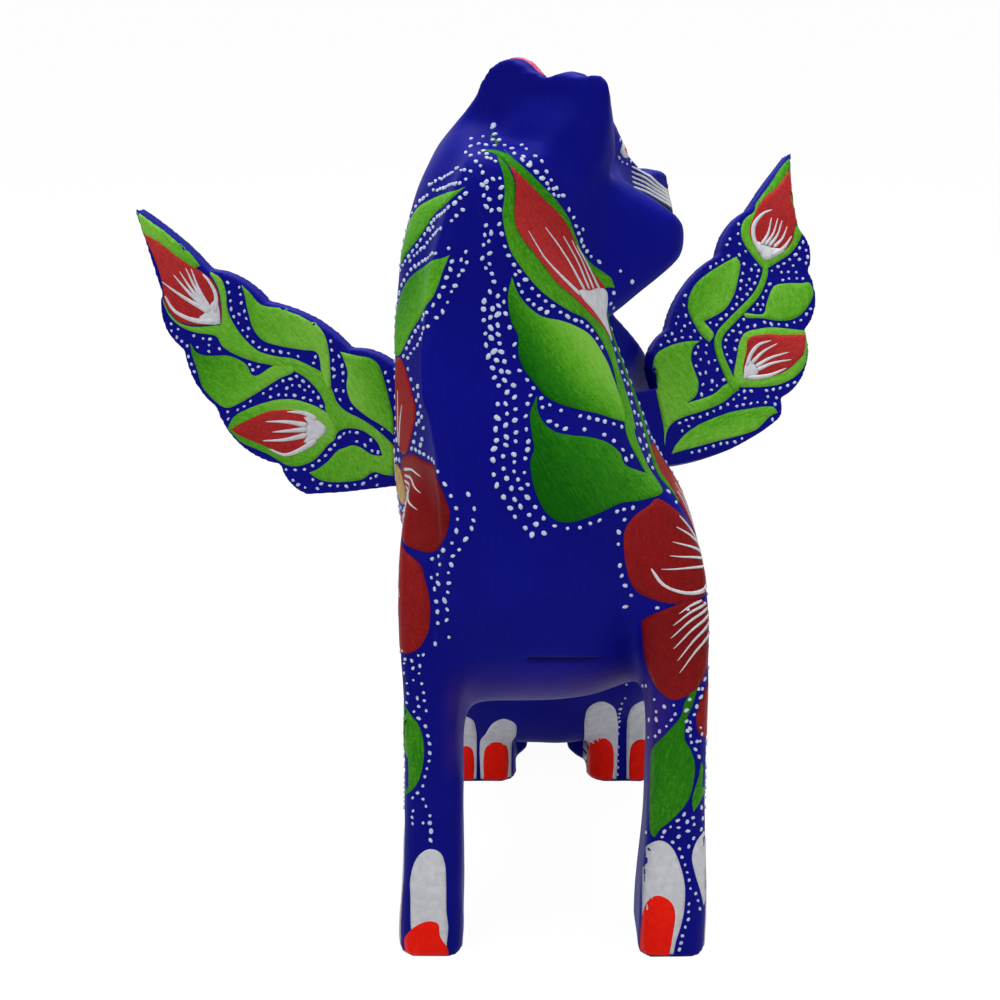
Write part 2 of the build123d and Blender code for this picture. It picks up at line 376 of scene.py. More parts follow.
def line_distance(verts, points):
    """How far each vertex is from a line through these places."""
    best = np.full(len(verts), 1e9)
    for a, b in zip(np.array(points[:-1], float), np.array(points[1:], float)):
        ab = b - a
        f = np.clip(((verts - a) @ ab) / (ab @ ab), 0, 1)
        best = np.minimum(best, np.linalg.norm(verts - a - f[:, None] * ab, axis=1))
    return best


skins = {}


def make_skin(name, node, body, voxel, shape, material, also=(), lumps=()):
    """A smooth carved skin that stands for CAD nodes. shape edits its vertices, in mm."""
    mesh = one_shell(remeshed((node, *also), voxel, lumps))
    verts = mesh_arrays(mesh) / MM - SHIFT
    verts = shape(mesh, verts)
    mesh.vertices.foreach_set("co", metres(verts).ravel())
    mesh.update()
    mesh.shade_smooth()
    mesh.name = name
    mesh.materials.append(material)
    obj = bpy.data.objects.new(name, mesh)
    bpy.context.scene.collection.objects.link(obj)
    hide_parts(node, *also)
    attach(obj, body)
    faces = [tuple(p.vertices) for p in mesh.polygons]
    skins[name] = BVHTree.FromPolygons(verts.tolist(), faces)
    return obj


def note(mesh, name, values):
    attribute = mesh.attributes.new(name, "FLOAT", "POINT")
    attribute.data.foreach_set("value", np.asarray(values, float))


HEAD = np.array([-2.0, 35.0, 190.0])
HEAD_TURN = radians(-34)
HEAD_RIGHT = np.array([cos(HEAD_TURN), sin(HEAD_TURN), 0.0])
HEAD_FORWARD = np.array([-HEAD_RIGHT[1], HEAD_RIGHT[0], 0.0])
UP = np.array([0.0, 0.0, 1.0])


def in_head(verts):
    """Places in the head's own frame: right, forward and up."""
    local = verts - HEAD
    return np.stack([local @ HEAD_RIGHT, local @ HEAD_FORWARD, local @ UP], 1)


def shape_figure(mesh, verts):
    low = verts[:, 2] < 1.2
    verts = smooth(mesh, verts, 6)
    x, y, z = verts.T
    # the front legs run up into the chest with no crease
    crease = band(z, 44, 58) * (1 - band(z, 132, 150)) * (1 - band(y, 48, 66))
    crease *= band(np.abs(x + 1), 10, 16) * (1 - band(np.abs(x + 1), 33, 36))
    verts = relax(mesh, verts, 110, crease)
    # the haunches run into the trunk and the hind feet
    crease = band(y, 76, 88) * band(z, 12, 20) * (1 - band(z, 92, 104))
    crease *= 1 - band(np.abs(x), 37, 39.5)
    verts = relax(mesh, verts, 30, crease)
    # the head is one flowing form with the neck, the ears and the ruff
    _, forward, up = in_head(verts).T
    crease = band(z, 158, 168) * (1 - band(forward, 22, 28)) * (1 - band(up, 22, 27))
    verts = relax(mesh, verts, 60, crease)
    verts = smooth(mesh, verts, 8)
    verts = carved(verts, 0.3, 13.0)
    # a crack across the belly, cut in as a shallow groove; the darkening noted for it is painted
    # shade inside the groove
    crack = line_distance(verts, BELLY_CRACK)
    verts[:, 1] += 0.7 * (1 - band(crack, 0.3, 1.1))
    verts[low, 2] = np.maximum(verts[low, 2], 0.0)
    note(mesh, "crack", 0.9 - 0.9 * band(crack, 0.3, 1.0))
    x, y, z = verts.T
    # where the painted sheen lies: a band low on the belly, standing for light thrown up from the
    # floor
    belly_sheen = 0.6 * band(z, 48, 58) * (1 - band(z, 70, 82)) * (1 - band(y, 60, 80))
    belly_sheen *= 1 - band(np.abs(x), 24, 30)
    note(mesh, "belly_sheen", belly_sheen)
    return verts


def shape_wing(mesh, verts):
    verts = smooth(mesh, verts, 5)
    return carved(verts, 0.12, 8.0)


def shape_tail(mesh, verts):
    verts = smooth(mesh, verts, 8)
    return carved(verts, 0.25, 9.0)


def head_slab(back, front, back_place=-5.0, front_place=1.0):
    """Corners of a lump between two outlines (right, up) in the head's frame."""
    return [HEAD + r * HEAD_RIGHT + place * HEAD_FORWARD + u * UP
            for outline, place in ((back, back_place), (front, front_place)) for r, u in outline]


HEAD_LUMPS = (
    head_slab([(-1, 26), (0.6, 29.6), (8, 30.4), (16.4, 31.4), (18.2, 30), (18.8, 24.6), (17.6, 16),
    (12, 4), (2, 4)], [(0, 24), (8, 27), (11, 27.8), (12.4, 22.8), (14.4, 16.2), (16, 11), (12, 0),
    (0, 0)], -5.0, 6.0), head_slab([(-22.4, 19), (-15, 29.6), (-12.4, 31), (-6, 30.5), (-1, 30.1),
    (0.8, 28.6), (1.4, 8), (-20, 8)], [(-17, 19), (-13, 27.4), (-10, 29.8), (-5, 29.9), (-2, 28.8),
    (1, 25), (1, 6), (-18, 6)]), head_slab([(-32.8, 9), (-28.8, 13.4), (-22.9, 18.9), (-15.2, 29.2),
    (-8, 28), (-8, 4), (-28, 2)], [(-33, 6), (-28, 9.6), (-22, 15.6), (-14, 24), (-8, 24), (-8, 4),
    (-30, 2)], -5.0, 5.0),
)
BELLY_CRACK = [(-7, 6, 81), (2, 7, 80.2), (10, 9, 79.4), (19, 12, 78.6)]
FIGURE_VOXEL = 0.8
WING_VOXEL = 0.6
make_skin(
    "figure_skin", "body", "figure", FIGURE_VOXEL, shape_figure, BLUE,
    also=("head", "left_ear", "right_ear"), lumps=HEAD_LUMPS,
)
make_skin("left_wing_skin", "left_wing", "left_wing", WING_VOXEL, shape_wing, BLUE)
make_skin("right_wing_skin", "right_wing", "right_wing", WING_VOXEL, shape_wing, BLUE)
make_skin("tail_skin", "tail", "tail", FIGURE_VOXEL, shape_tail, BLUE)

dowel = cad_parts["neck_dowel"]
dowel.data.materials.clear()
dowel.data.materials.append(bare_wood())

# ---------------------------------------------------------------- carriers: where paint is laid

LAYER_KEYS = ("verts", "faces", "along", "across", "tone", "light")


class Carrier:
    """Turns flat paint coordinates (s, t) in mm into places on a skin, by rays on to it."""

    steepest = 0.0

    def __init__(self, skin, body, name):
        self.tree = skins[skin]
        self.body = body
        self.name = name
        self.layers = {}
        self.outlines = []
        self.dots = []

    def land(self, s, t):
        origin, heading = self.ray(s, t)
        start = Vector(origin)
        for _ in range(4):
            hit, normal, _, _ = self.tree.ray_cast(start, Vector(heading))
            if hit is None:
                return None
            facing = -np.array(normal) @ heading
            if facing > self.steepest:
                return np.array(hit), np.array(normal)
            if facing > 0:
                return None
            start = hit + Vector(heading) * 0.01
        return None

    def layer(self, colour):
        return self.layers.setdefault(colour, {key: [] for key in LAYER_KEYS})

    def pulled(self, point, centre):
        """Where a point lands, drawn towards a centre until it meets the skin."""
        point, centre = np.asarray(point, float), np.asarray(centre, float)
        for share in (0.0, 0.08, 0.16, 0.25, 0.35, 0.5, 0.7, 0.9):
            landed = self.land(*(point + (centre - point) * share))
            if landed is not None:
                return landed
        return None


class Column(Carrier):
    """Paint wrapped round an upright axis: s is the distance round from the front, t the height."""

    def __init__(self, skin, body, name, axis, radius, reach=62.0):
        super().__init__(skin, body, name)
        self.axis = np.array(axis, float)
        self.radius = radius
        self.reach = reach

    def ray(self, s, t):
        x = np.interp(t, self.axis[:, 0], self.axis[:, 1])
        y = np.interp(t, self.axis[:, 0], self.axis[:, 2])
        angle = s / self.radius
        out = np.array([sin(angle), -cos(angle), 0.0])
        return np.array([x, y, t]) + out * self.reach, -out


class Plate(Carrier):
    """Paint on a flat side: s and t run along the plate's own X and Y."""

    def __init__(self, skin, body, name, origin, across, up, facing, steepest=0.3):
        super().__init__(skin, body, name)
        self.origin = np.array(origin, float)
        self.across = np.array(across, float)
        self.up = np.array(up, float)
        self.facing = np.array(facing, float)
        self.steepest = steepest

    def ray(self, s, t):
        return self.origin + self.across * s + self.up * t + self.facing * 60.0, -self.facing


# ---------------------------------------------------------------- brush work

DETAIL = 0.9


def spline(a, b, c, d, f):
    f = f[:, None]
    square, cube = 2 * a - 5 * b + 4 * c - d, 3 * b - a - 3 * c + d
    return 0.5 * (2 * b + (c - a) * f + square * f**2 + cube * f**3)


def curve(points, count):
    """A smooth line through a few points, evenly sampled by parameter."""
    points = np.array(points, float)
    if len(points) == 2:
        return points[0] + np.linspace(0, 1, count)[:, None] * (points[1] - points[0])
    ends = np.vstack([2 * points[0] - points[1], points, 2 * points[-1] - points[-2]])
    place = np.linspace(0, len(points) - 1, count)
    index = np.minimum(place.astype(int), len(points) - 2)
    return spline(*(ends[index + k] for k in range(4)), place - index)


def loop_of(points, step=0.8):
    """A closed line through points, smooth but for its sharp corners."""
    points = np.array(points, float)
    count = len(points)
    back = points - np.roll(points, 1, axis=0)
    ahead = np.roll(points, -1, axis=0) - points
    lengths = np.linalg.norm(ahead, axis=1)
    turn = (back * ahead).sum(1) / (np.linalg.norm(back, axis=1) * lengths + 1e-9)
    sharp = turn < 0.2
    runs = []
    for i in range(count):
        a, b, c, d = (points[(i + k) % count] for k in (-1, 0, 1, 2))
        if sharp[i]:
            a = 2 * b - c
        if sharp[(i + 1) % count]:
            d = 2 * c - b
        pieces = max(1, int(round(lengths[i] / step)))
        ends = (np.tile(p, (pieces, 1)) for p in (a, b, c, d))
        runs.append(spline(*ends, np.arange(pieces) / pieces))
    return np.vstack(runs)


def inside(outline, points):
    """Which points lie inside a closed outline."""
    x, y = points[:, 0], points[:, 1]
    result = np.zeros(len(points), bool)
    for (x0, y0), (x1, y1) in zip(outline, np.roll(outline, -1, axis=0)):
        crosses = (y0 > y) != (y1 > y)
        with np.errstate(divide="ignore", invalid="ignore"):
            cut = (x1 - x0) * (y - y0) / (y1 - y0) + x0
        result ^= crosses & (x < cut)
    return result


def distance(outline, points, closed=True):
    """How far each point is from a line of points."""
    ends = np.roll(outline, -1, axis=0) if closed else outline[1:]
    starts = outline if closed else outline[:-1]
    best = np.full(len(points), 1e9)
    for a, b in zip(starts, ends):
        ab = b - a
        f = np.clip(((points - a) @ ab) / (ab @ ab + 1e-9), 0, 1)
        best = np.minimum(best, np.linalg.norm(points - a - f[:, None] * ab, axis=1))
    return best


PAINT_BASE = 0.05
PAINT_LEVEL = 0.09
PAINT_CROWN = 0.08
PAINT_ROOT = 0.3
LONGEST_EDGE = 4.5


def lay(carrier, colour, flat, faces, rim_gap, along, across, level, tone, light, centre):
    """Adds one closed thin patch of paint: flat points and faces, landed on the skin."""
    landed = [carrier.pulled(point, centre) for point in flat]
    if any(spot is None for spot in landed):
        return
    places = np.array([spot[0] for spot in landed])
    normals = np.array([spot[1] for spot in landed])
    height = PAINT_BASE + PAINT_LEVEL * level + PAINT_CROWN * np.clip(rim_gap / 0.8, 0, 1)
    layer = carrier.layer(colour)
    base = len(layer["verts"])
    total = len(flat)
    layer["verts"] += list(places + normals * height[:, None]) + list(places - normals * PAINT_ROOT)
    layer["along"] += list(along) * 2
    layer["across"] += list(across) * 2
    layer["tone"] += [tone] * total * 2
    layer["light"] += list(light) * 2
    # a face that bridges two forms is left out
    faces = [
        face for face in faces
        if max(np.linalg.norm(places[a] - places[b])
               for a, b in zip(face, face[1:] + face[:1])) < LONGEST_EDGE
    ]
    edges = {}
    for face in faces:
        layer["faces"].append(tuple(base + k for k in face))
        layer["faces"].append(tuple(base + total + k for k in reversed(face)))
        for a, b in zip(face, face[1:] + face[:1]):
            edges[(a, b)] = True
    for a, b in edges:
        if (b, a) not in edges:
            layer["faces"].append((base + b, base + a, base + total + a, base + total + b))


GRID_STEP = 1.2
GRID_TO_RIM = 0.5


def patch(carrier, colour, points, level=1, light=(0.5, 0.0, 0.0), tone=0.5, keep=True, step=0.8):
    """A painted shape with a free outline.

    light holds its mean, its gain towards the first point, and its gain to that point's left.
    """
    rim = loop_of(points, step)
    low, high = rim.min(0), rim.max(0)
    ticks = [np.arange(start, end, GRID_STEP) for start, end in zip(low, high)]
    grid = np.stack(np.meshgrid(*ticks), -1).reshape(-1, 2)
    grid = grid[inside(rim, grid)]
    if len(grid):
        grid = grid[distance(rim, grid) > GRID_TO_RIM]
    flat = [Vector(point) for point in np.vstack([rim, grid])]
    flat, _, faces, *_ = delaunay_2d_cdt(flat, [], [list(range(len(rim)))], 1, 1e-4)
    flat = np.array([tuple(point) for point in flat])
    used = sorted({k for face in faces for k in face})
    new_index = {old: new for new, old in enumerate(used)}
    flat = flat[used]
    faces = [tuple(new_index[k] for k in face) for face in faces]
    centre = rim.mean(0)
    axis = np.array(points[0], float) - centre
    axis /= np.linalg.norm(axis)
    side = np.array([-axis[1], axis[0]])
    along, across = (flat - centre) @ axis, (flat - centre) @ side
    values = light[0] + light[1] * along / np.abs(along).max()
    values = values + light[2] * across / np.abs(across).max()
    lay(
        carrier, colour, flat, faces, distance(rim, flat), along, across, level, tone, values,
        centre,
    )
    if keep:
        carrier.outlines.append(rim)


def stroke(carrier, colour, points, start, end=0.0, level=1, light=0.5, keep=False, middle=None):
    """A brush line: half width start at its root, end at its tip, middle between them."""
    rough = curve(points, 24)
    length = np.linalg.norm(np.diff(rough, axis=0), axis=1).sum()
    rows = int(np.clip(length / DETAIL, 5, 90))
    line = curve(points, rows + 1)
    heading = np.gradient(line, axis=0)
    heading /= np.linalg.norm(heading, axis=1)[:, None] + 1e-9
    side = np.stack([-heading[:, 1], heading[:, 0]], 1)
    u = np.linspace(0, 1, rows + 1)
    middle = (start + end) / 2 if middle is None else middle
    width = np.where(
        u < 0.5, start + (middle - start) * 2 * u, middle + (end - middle) * (2 * u - 1),
    )
    width = np.maximum(width * np.clip(np.minimum(u, 1 - u) * 16 + 0.35, 0, 1) ** 0.5, 0.07)
    columns = max(1, int(round(2 * width.max() / DETAIL)))
    v = np.linspace(-1, 1, columns + 1)
    flat = (line[:, None, :] + side[:, None, :] * (width[:, None] * v)[:, :, None]).reshape(-1, 2)
    wide = columns + 1
    faces = [(wide * i + j, wide * i + j + wide, wide * i + j + wide + 1, wide * i + j + 1)
             for i in range(rows) for j in range(columns)]
    faces = [tuple(reversed(face)) for face in faces]
    share = np.minimum(1 - np.abs(v)[None, :], 2 * np.minimum(u, 1 - u)[:, None])
    rim_gap = (share * width[:, None]).ravel()
    along, across = np.repeat(u * length, wide), np.tile(v, rows + 1)
    lay(
        carrier, colour, flat, faces, rim_gap, along, across, level, 0.3, np.full(len(flat), light),
        line[rows // 2],
    )
    if keep:
        left, right = line + side * width[:, None], line - side * width[:, None]
        carrier.outlines.append(np.vstack([left, right[::-1]]))


def bowed(carrier, strokes, start, bow, **looks):
    """White strokes from root to tip, each middle moved by the bow."""
    for root, tip in strokes:
        middle = (np.array(root) + tip) / 2 + bow
        stroke(carrier, "white", [root, middle, tip], start, 0.12, level=4, **looks)


rng = np.random.default_rng(7)
DOT_SIDES = 8
DOT_SKIPPED = 0.06
DOT_RINGS = ((1.0, -0.3), (1.0, 0.1), (0.7, 0.8))


def dot(carrier, s, t, radius, colour="dots", height=0.24, level=1, longer=1.0, turn=0.0):
    """A raised dot, as the end of a stick leaves it, drawn out along a line where longer > 1."""
    landed = carrier.land(s, t)
    if landed is None:
        return False
    place, normal = landed
    here, ahead = carrier.ray(s, t)[0], carrier.ray(s + 0.1 * cos(turn), t + 0.1 * sin(turn))[0]
    first = (ahead - here) - normal * ((ahead - here) @ normal)
    first /= np.linalg.norm(first) + 1e-9
    second = np.cross(normal, first)
    layer = carrier.layer(colour)
    base = len(layer["verts"])
    sides = DOT_SIDES
    wobble = rng.uniform(0.88, 1.12, sides)
    for share, lift in DOT_RINGS:
        for k in range(sides):
            angle = 2 * pi * k / sides
            rise = PAINT_BASE + level * PAINT_LEVEL + lift * height if lift > 0 else lift
            spot = place + normal * rise
            reach = radius * share * wobble[k]
            spot = spot + first * cos(angle) * reach * longer
            layer["verts"].append(spot + second * sin(angle) * reach)
    layer["verts"].append(place + normal * (PAINT_BASE + level * PAINT_LEVEL + height))
    count = sides * len(DOT_RINGS) + 1
    for r in range(len(DOT_RINGS) - 1):
        for k in range(sides):
            a, b = base + r * sides + k, base + r * sides + (k + 1) % sides
            layer["faces"].append((a, b, b + sides, a + sides))
    last = base + (len(DOT_RINGS) - 1) * sides
    for k in range(sides):
        layer["faces"].append((last + k, last + (k + 1) % sides, base + count - 1))
    layer["faces"].append(tuple(base + k for k in reversed(range(sides))))
    for key in ("along", "across", "tone", "light"):
        layer[key] += [0.0] * count
    return True


def dots_at(carrier, places, headings, radius, gap, clear, region=None, margin=1.0):
    """Dots at these places, where they clear painted shapes, the region's edge and each other."""
    places = np.asarray(places, float)
    if not len(places):
        return
    good = np.ones(len(places), bool)
    if region is not None:
        good &= inside(region, places) & (distance(region, places) > margin)
    for outline in carrier.outlines:
        good &= ~inside(outline, places) & (distance(outline, places) > clear)
    for place, heading in zip(places[good], headings[good]):
        if carrier.dots and np.min(np.linalg.norm(np.array(carrier.dots) - place, axis=1)) < gap:
            continue
        if rng.random() < DOT_SKIPPED:
            continue
        size = radius * rng.uniform(0.6, 0.9)
        longer = rng.uniform(1.0, 1.6)
        turn = heading + rng.uniform(-0.9, 0.9)
        if dot(carrier, *place, size, longer=longer, turn=turn):
            carrier.dots.append(place)


def line_dots(carrier, points, spacing=2.5, radius=0.55, rows=1, row_gap=2.2, clear=0.8):
    """Rows of dots along a line."""
    rough = curve(points, 60)
    run = np.concatenate([[0], np.cumsum(np.linalg.norm(np.diff(rough, axis=0), axis=1))])
    for row in range(rows):
        stops = np.arange(0.5 * spacing * (row % 2), run[-1], spacing)
        places = np.stack([np.interp(stops, run, rough[:, k]) for k in (0, 1)], 1)
        heading = np.gradient(places, axis=0) if len(places) > 1 else np.ones_like(places)
        heading /= np.linalg.norm(heading, axis=1)[:, None] + 1e-9
        side = np.stack([-heading[:, 1], heading[:, 0]], 1)
        places = places + side * (row - (rows - 1) / 2) * row_gap
        places = places + rng.uniform(-0.4, 0.4, places.shape)
        dots_at(
            carrier, places, np.arctan2(heading[:, 1], heading[:, 0]), radius, spacing * 0.68,
            clear,
        )


HALO_CLEAR = 0.75


def halo_dots(carrier, outlines, offsets, spacing=2.3, radius=0.5, region=None):
    """Dots that follow the outlines of painted shapes at these distances."""
    for offset in offsets:
        for outline in outlines:
            loop = np.vstack([outline, outline[:1]])
            run = np.concatenate([[0], np.cumsum(np.linalg.norm(np.diff(loop, axis=0), axis=1))])
            stops = np.arange(0, run[-1], spacing)
            places = np.stack([np.interp(stops, run, loop[:, k]) for k in (0, 1)], 1)
            next_stops = (stops + 0.6) % run[-1]
            ahead = np.stack([np.interp(next_stops, run, loop[:, k]) for k in (0, 1)], 1)
            heading = ahead - places
            heading /= np.linalg.norm(heading, axis=1)[:, None] + 1e-9
            side = np.stack([-heading[:, 1], heading[:, 0]], 1)
            angle = np.arctan2(heading[:, 1], heading[:, 0])
            for turn in (1, -1):
                moved = places + side * offset * turn + rng.uniform(-0.2, 0.2, places.shape)
                dots_at(
                    carrier, moved, angle, radius, spacing * 0.72,
                    max(HALO_CLEAR, offset - 0.4), region,
                )


# ---------------------------------------------------------------- wings


def wing_plate(name, root, side, sweep, lean, facing):
    sweep, lean = radians(sweep), radians(lean)
    across = np.array([side * cos(sweep), sin(sweep), 0.0])
    back = np.array([-side * sin(sweep), cos(sweep), 0.0])
    up = np.array([0, 0, cos(lean)]) + back * sin(lean)
    normal = np.cross(across, up)
    normal = normal if normal[1] < 0 else -normal
    if facing == "back":
        normal = -normal
    return Plate(name + "_skin", name, name + "_" + facing, root, across, up, normal)


def scallops(corners, crowns):
    """The board's outline: an arc through each crown, from corner to corner."""
    points = []
    for a, c, b in zip(corners, crowns, corners[1:]):
        a, b, c = (np.array(p, float) for p in (a, b, c))
        for f in np.linspace(0, 1, 8)[:-1]:
            points.append((1 - f) ** 2 * a + 2 * f * (1 - f) * (2 * c - (a + b) / 2) + f * f * b)
    return np.array(points)


RIGHT_ROOT = (-36.0, 62.0, 118.0)
RIGHT_CORNERS = [
    (5.5, 15.5), (19.5, 24), (43.5, 34.5), (60, 42), (81.5, 57), (73.5, 34.5), (67, 20), (57.5, 5),
    (38.5, -9), (30.5, -16.5), (5.5, -11.5),
]
RIGHT_CROWNS = [
    (10.3, 21.9), (32, 31.9), (51.5, 40.3), (70, 50), (77.5, 46), (72.5, 25.5), (64, 11.5),
    (50, -5), (35.5, -14), (17.5, -14.2),
]
LEFT_ROOT = (28.3, 59.2, 118.0)
LEFT_CORNERS = [
    (1.8, 15.5), (9.5, 31), (30.5, 49), (43.5, 60.5), (61, 75), (57.5, 53), (57, 41), (51.5, 25),
    (38.5, 7.5), (36.5, 2), (-1, -5),
]
LEFT_CROWNS = [
    (3.5, 26.5), (17, 41), (34.5, 55), (51.5, 67.5), (58, 63), (59.6, 46.5), (57.2, 32), (47.8, 13),
    (38.3, 4.5), (20, -3.6),
]


def paint_right_wing(plate):
    # bud at the tip
    patch(
        plate, "green", [(81.3, 56.6), (72, 51.2), (66, 47), (62, 43.2), (64, 42.6), (69, 45.2),
        (74, 48.4), (79, 51)], light=(0.70, 0.1, -0.1), tone=0.1,
    )
    patch(
        plate, "red", [(79.2, 51), (74, 48.8), (69, 45.4), (64, 42.8), (61, 41.2), (58.5, 39.5),
        (57, 37), (56, 32), (56, 28), (63, 27), (68, 27.5), (70.5, 29.5), (72.5, 32.5), (73.3, 38),
        (75.6, 44.5)], light=(0.60, 0.1, 0.0), tone=0.2,
    )
    patch(
        plate, "white", [(56, 28), (59, 27.6), (62.5, 28.3), (62, 29.6), (61, 30.2), (60.4, 31.2),
        (59.4, 32.2), (58.6, 33.6), (57.4, 34.6), (56.4, 32)], level=2, keep=False,
    )
    for tip in ((73.2, 38), (69.8, 40.2), (68, 41.2), (66.2, 42.3), (64.6, 42.2)):
        start = np.array((58.6, 30.6)) + (np.array(tip) - (58.6, 30.6)) * 0.06
        stroke(plate, "white", [start, (start + tip) / 2 + (0.4, -0.2), tip], 0.75, 0.1, level=3)
    stroke(
        plate, "white", [(58, 28.4), (64, 28.4), (69.5, 30.4), (72.4, 34.2)], 0.8, 0.25, level=3,
        middle=0.5,
    )
    stroke(
        plate, "white", [(57.6, 31), (57.4, 35.5), (59.2, 39), (61.2, 41)], 0.7, 0.2, level=3,
        middle=0.45,
    )
    # its calyx runs into the stem, which carries a leaf on a stalk
    patch(
        plate, "green", [(73.3, 33.5), (72.2, 30.6), (70.3, 28), (67, 26), (63, 25), (57.5, 24.6),
        (55.5, 22), (51.5, 20), (45.5, 18.5), (40, 18), (34.5, 17), (30.5, 15), (27, 11.5),
        (24.4, 6.5), (22.5, 9.5), (24, 13.5), (26.3, 17), (30.5, 19), (35, 20.4), (40, 20.6),
        (45, 21.6), (49, 24.5), (52, 28), (54, 32), (54.6, 37), (56.2, 40.4), (59.8, 42),
        (58, 39.6), (56.6, 37), (55.7, 32), (55.8, 27.8), (63, 26.6), (68, 27.2), (71.2, 29.8)],
        light=(0.67, 0.0, 0.08), tone=0.3,
    )
    patch(
        plate, "green", [(50, 39), (47.5, 37), (44, 34), (36.5, 33.4), (30.5, 31.4), (27.2, 29),
        (25.6, 26.5), (24.6, 22), (24.2, 17), (24, 13), (26.5, 12.5), (26.8, 17), (28, 22.5),
        (32.5, 23), (39, 23.5), (43.5, 24.5), (46.5, 27.5), (48, 32), (49, 36)],
        light=(0.73, -0.16, 0.05), tone=0.6,
    )
    patch(
        plate, "green", [(21.5, 23.4), (17, 22.8), (13, 22.4), (10.5, 20.6), (9, 17), (7.5, 12),
        (6.2, 6.5), (6, 2.5), (9, 4.5), (14, 7), (18, 10), (19.5, 14), (19.3, 18), (20.5, 21.5)],
        light=(0.67, 0.1, -0.16), tone=0.8,
    )
    patch(
        plate, "green", [(65, 22), (63, 19.5), (59.5, 19), (54.5, 19.5), (51.5, 19), (48.5, 17.5),
        (47, 15), (45, 15), (40.5, 18), (35, 19.5), (34.5, 17), (39, 14.5), (45.5, 10), (51, 6.5),
        (54.5, 5.2), (58, 7), (61.5, 10.5), (63, 15), (64.5, 19)], light=(0.60, -0.24, 0.0),
        tone=0.7,
    )
    # second bud, and the last leaf at the root
    patch(
        plate, "green", [(54, -0.4), (52, 3), (48, 5.5), (43.5, 7.5), (39.5, 8.8), (35, 9.3),
        (31, 8.8), (27.5, 7.8), (24.2, 6), (23, 3.5), (22.5, 0), (24.5, -2), (26.5, -4.5), (29, -7),
        (32.5, -8.6), (36, -9), (39, -7.8), (42, -6.4), (46, -5.2), (50, -3.8)],
        light=(0.65, -0.14, 0.1), tone=0.9,
    )
    patch(
        plate, "red", [(53, -0.6), (50.6, 1), (47, 3), (43, 5), (39.5, 6), (34.5, 6.4), (29.5, 5.4),
        (26, 3.5), (25, 2), (26.5, 0), (30.5, -3), (33.5, -5), (36, -6.4), (39.5, -5.8), (42, -4.6),
        (46, -3.4), (50, -2.2)], level=2, light=(0.57, -0.05, 0.05), tone=0.4,
    )
    patch(
        plate, "white", [(25, 2), (26.5, 0), (29.5, -2.2), (31.6, -2), (30.6, 0), (31.8, 1.4),
        (30.4, 3), (31.6, 4.8), (29.5, 5.2), (26.3, 3.6)], level=3, keep=False,
    )
    for tip, lift in (((42.6, 2.6), 0.4), ((40.6, -0.1), 0.0), ((43.4, -2.8), -0.5)):
        start = np.array((30.6, 1.6)) + (0, lift * 3)
        stroke(plate, "white", [start, (start + tip) / 2 + (0, lift), tip], 0.75, 0.12, level=4)
    stroke(plate, "white", [(28, 4.6), (31.5, 6), (36.4, 5.9)], 0.75, 0.15, level=4, middle=0.55)
    stroke(
        plate, "white", [(28, -1.2), (32.5, -4.2), (37, -6), (41.4, -4.9)], 0.8, 0.2, level=4,
        middle=0.5,
    )
    patch(
        plate, "green", [(24.4, 13), (22, 9.5), (19.5, 7.5), (15.5, 6), (12.5, 4.5), (9.5, 2.5),
        (7, 0.5), (5.8, -1), (5.6, -4.5), (5.8, -8.6), (8.5, -8.6), (11.5, -8.2), (14.5, -10.4),
        (18, -11.4), (23, -12.2), (26.5, -12), (28.5, -11.2), (30, -10.3), (27.5, -9), (24.5, -6.5),
        (22, -3.5), (20, -2.5), (17.5, -1.5), (15, -2), (12, -3.5), (9, -3.5), (10.5, 0), (13, 2),
        (15.5, 3), (19, 3), (21.5, 2), (22.8, 0), (23.6, 4), (25.6, 8)], light=(0.65, 0.0, 0.1),
        tone=0.2,
    )


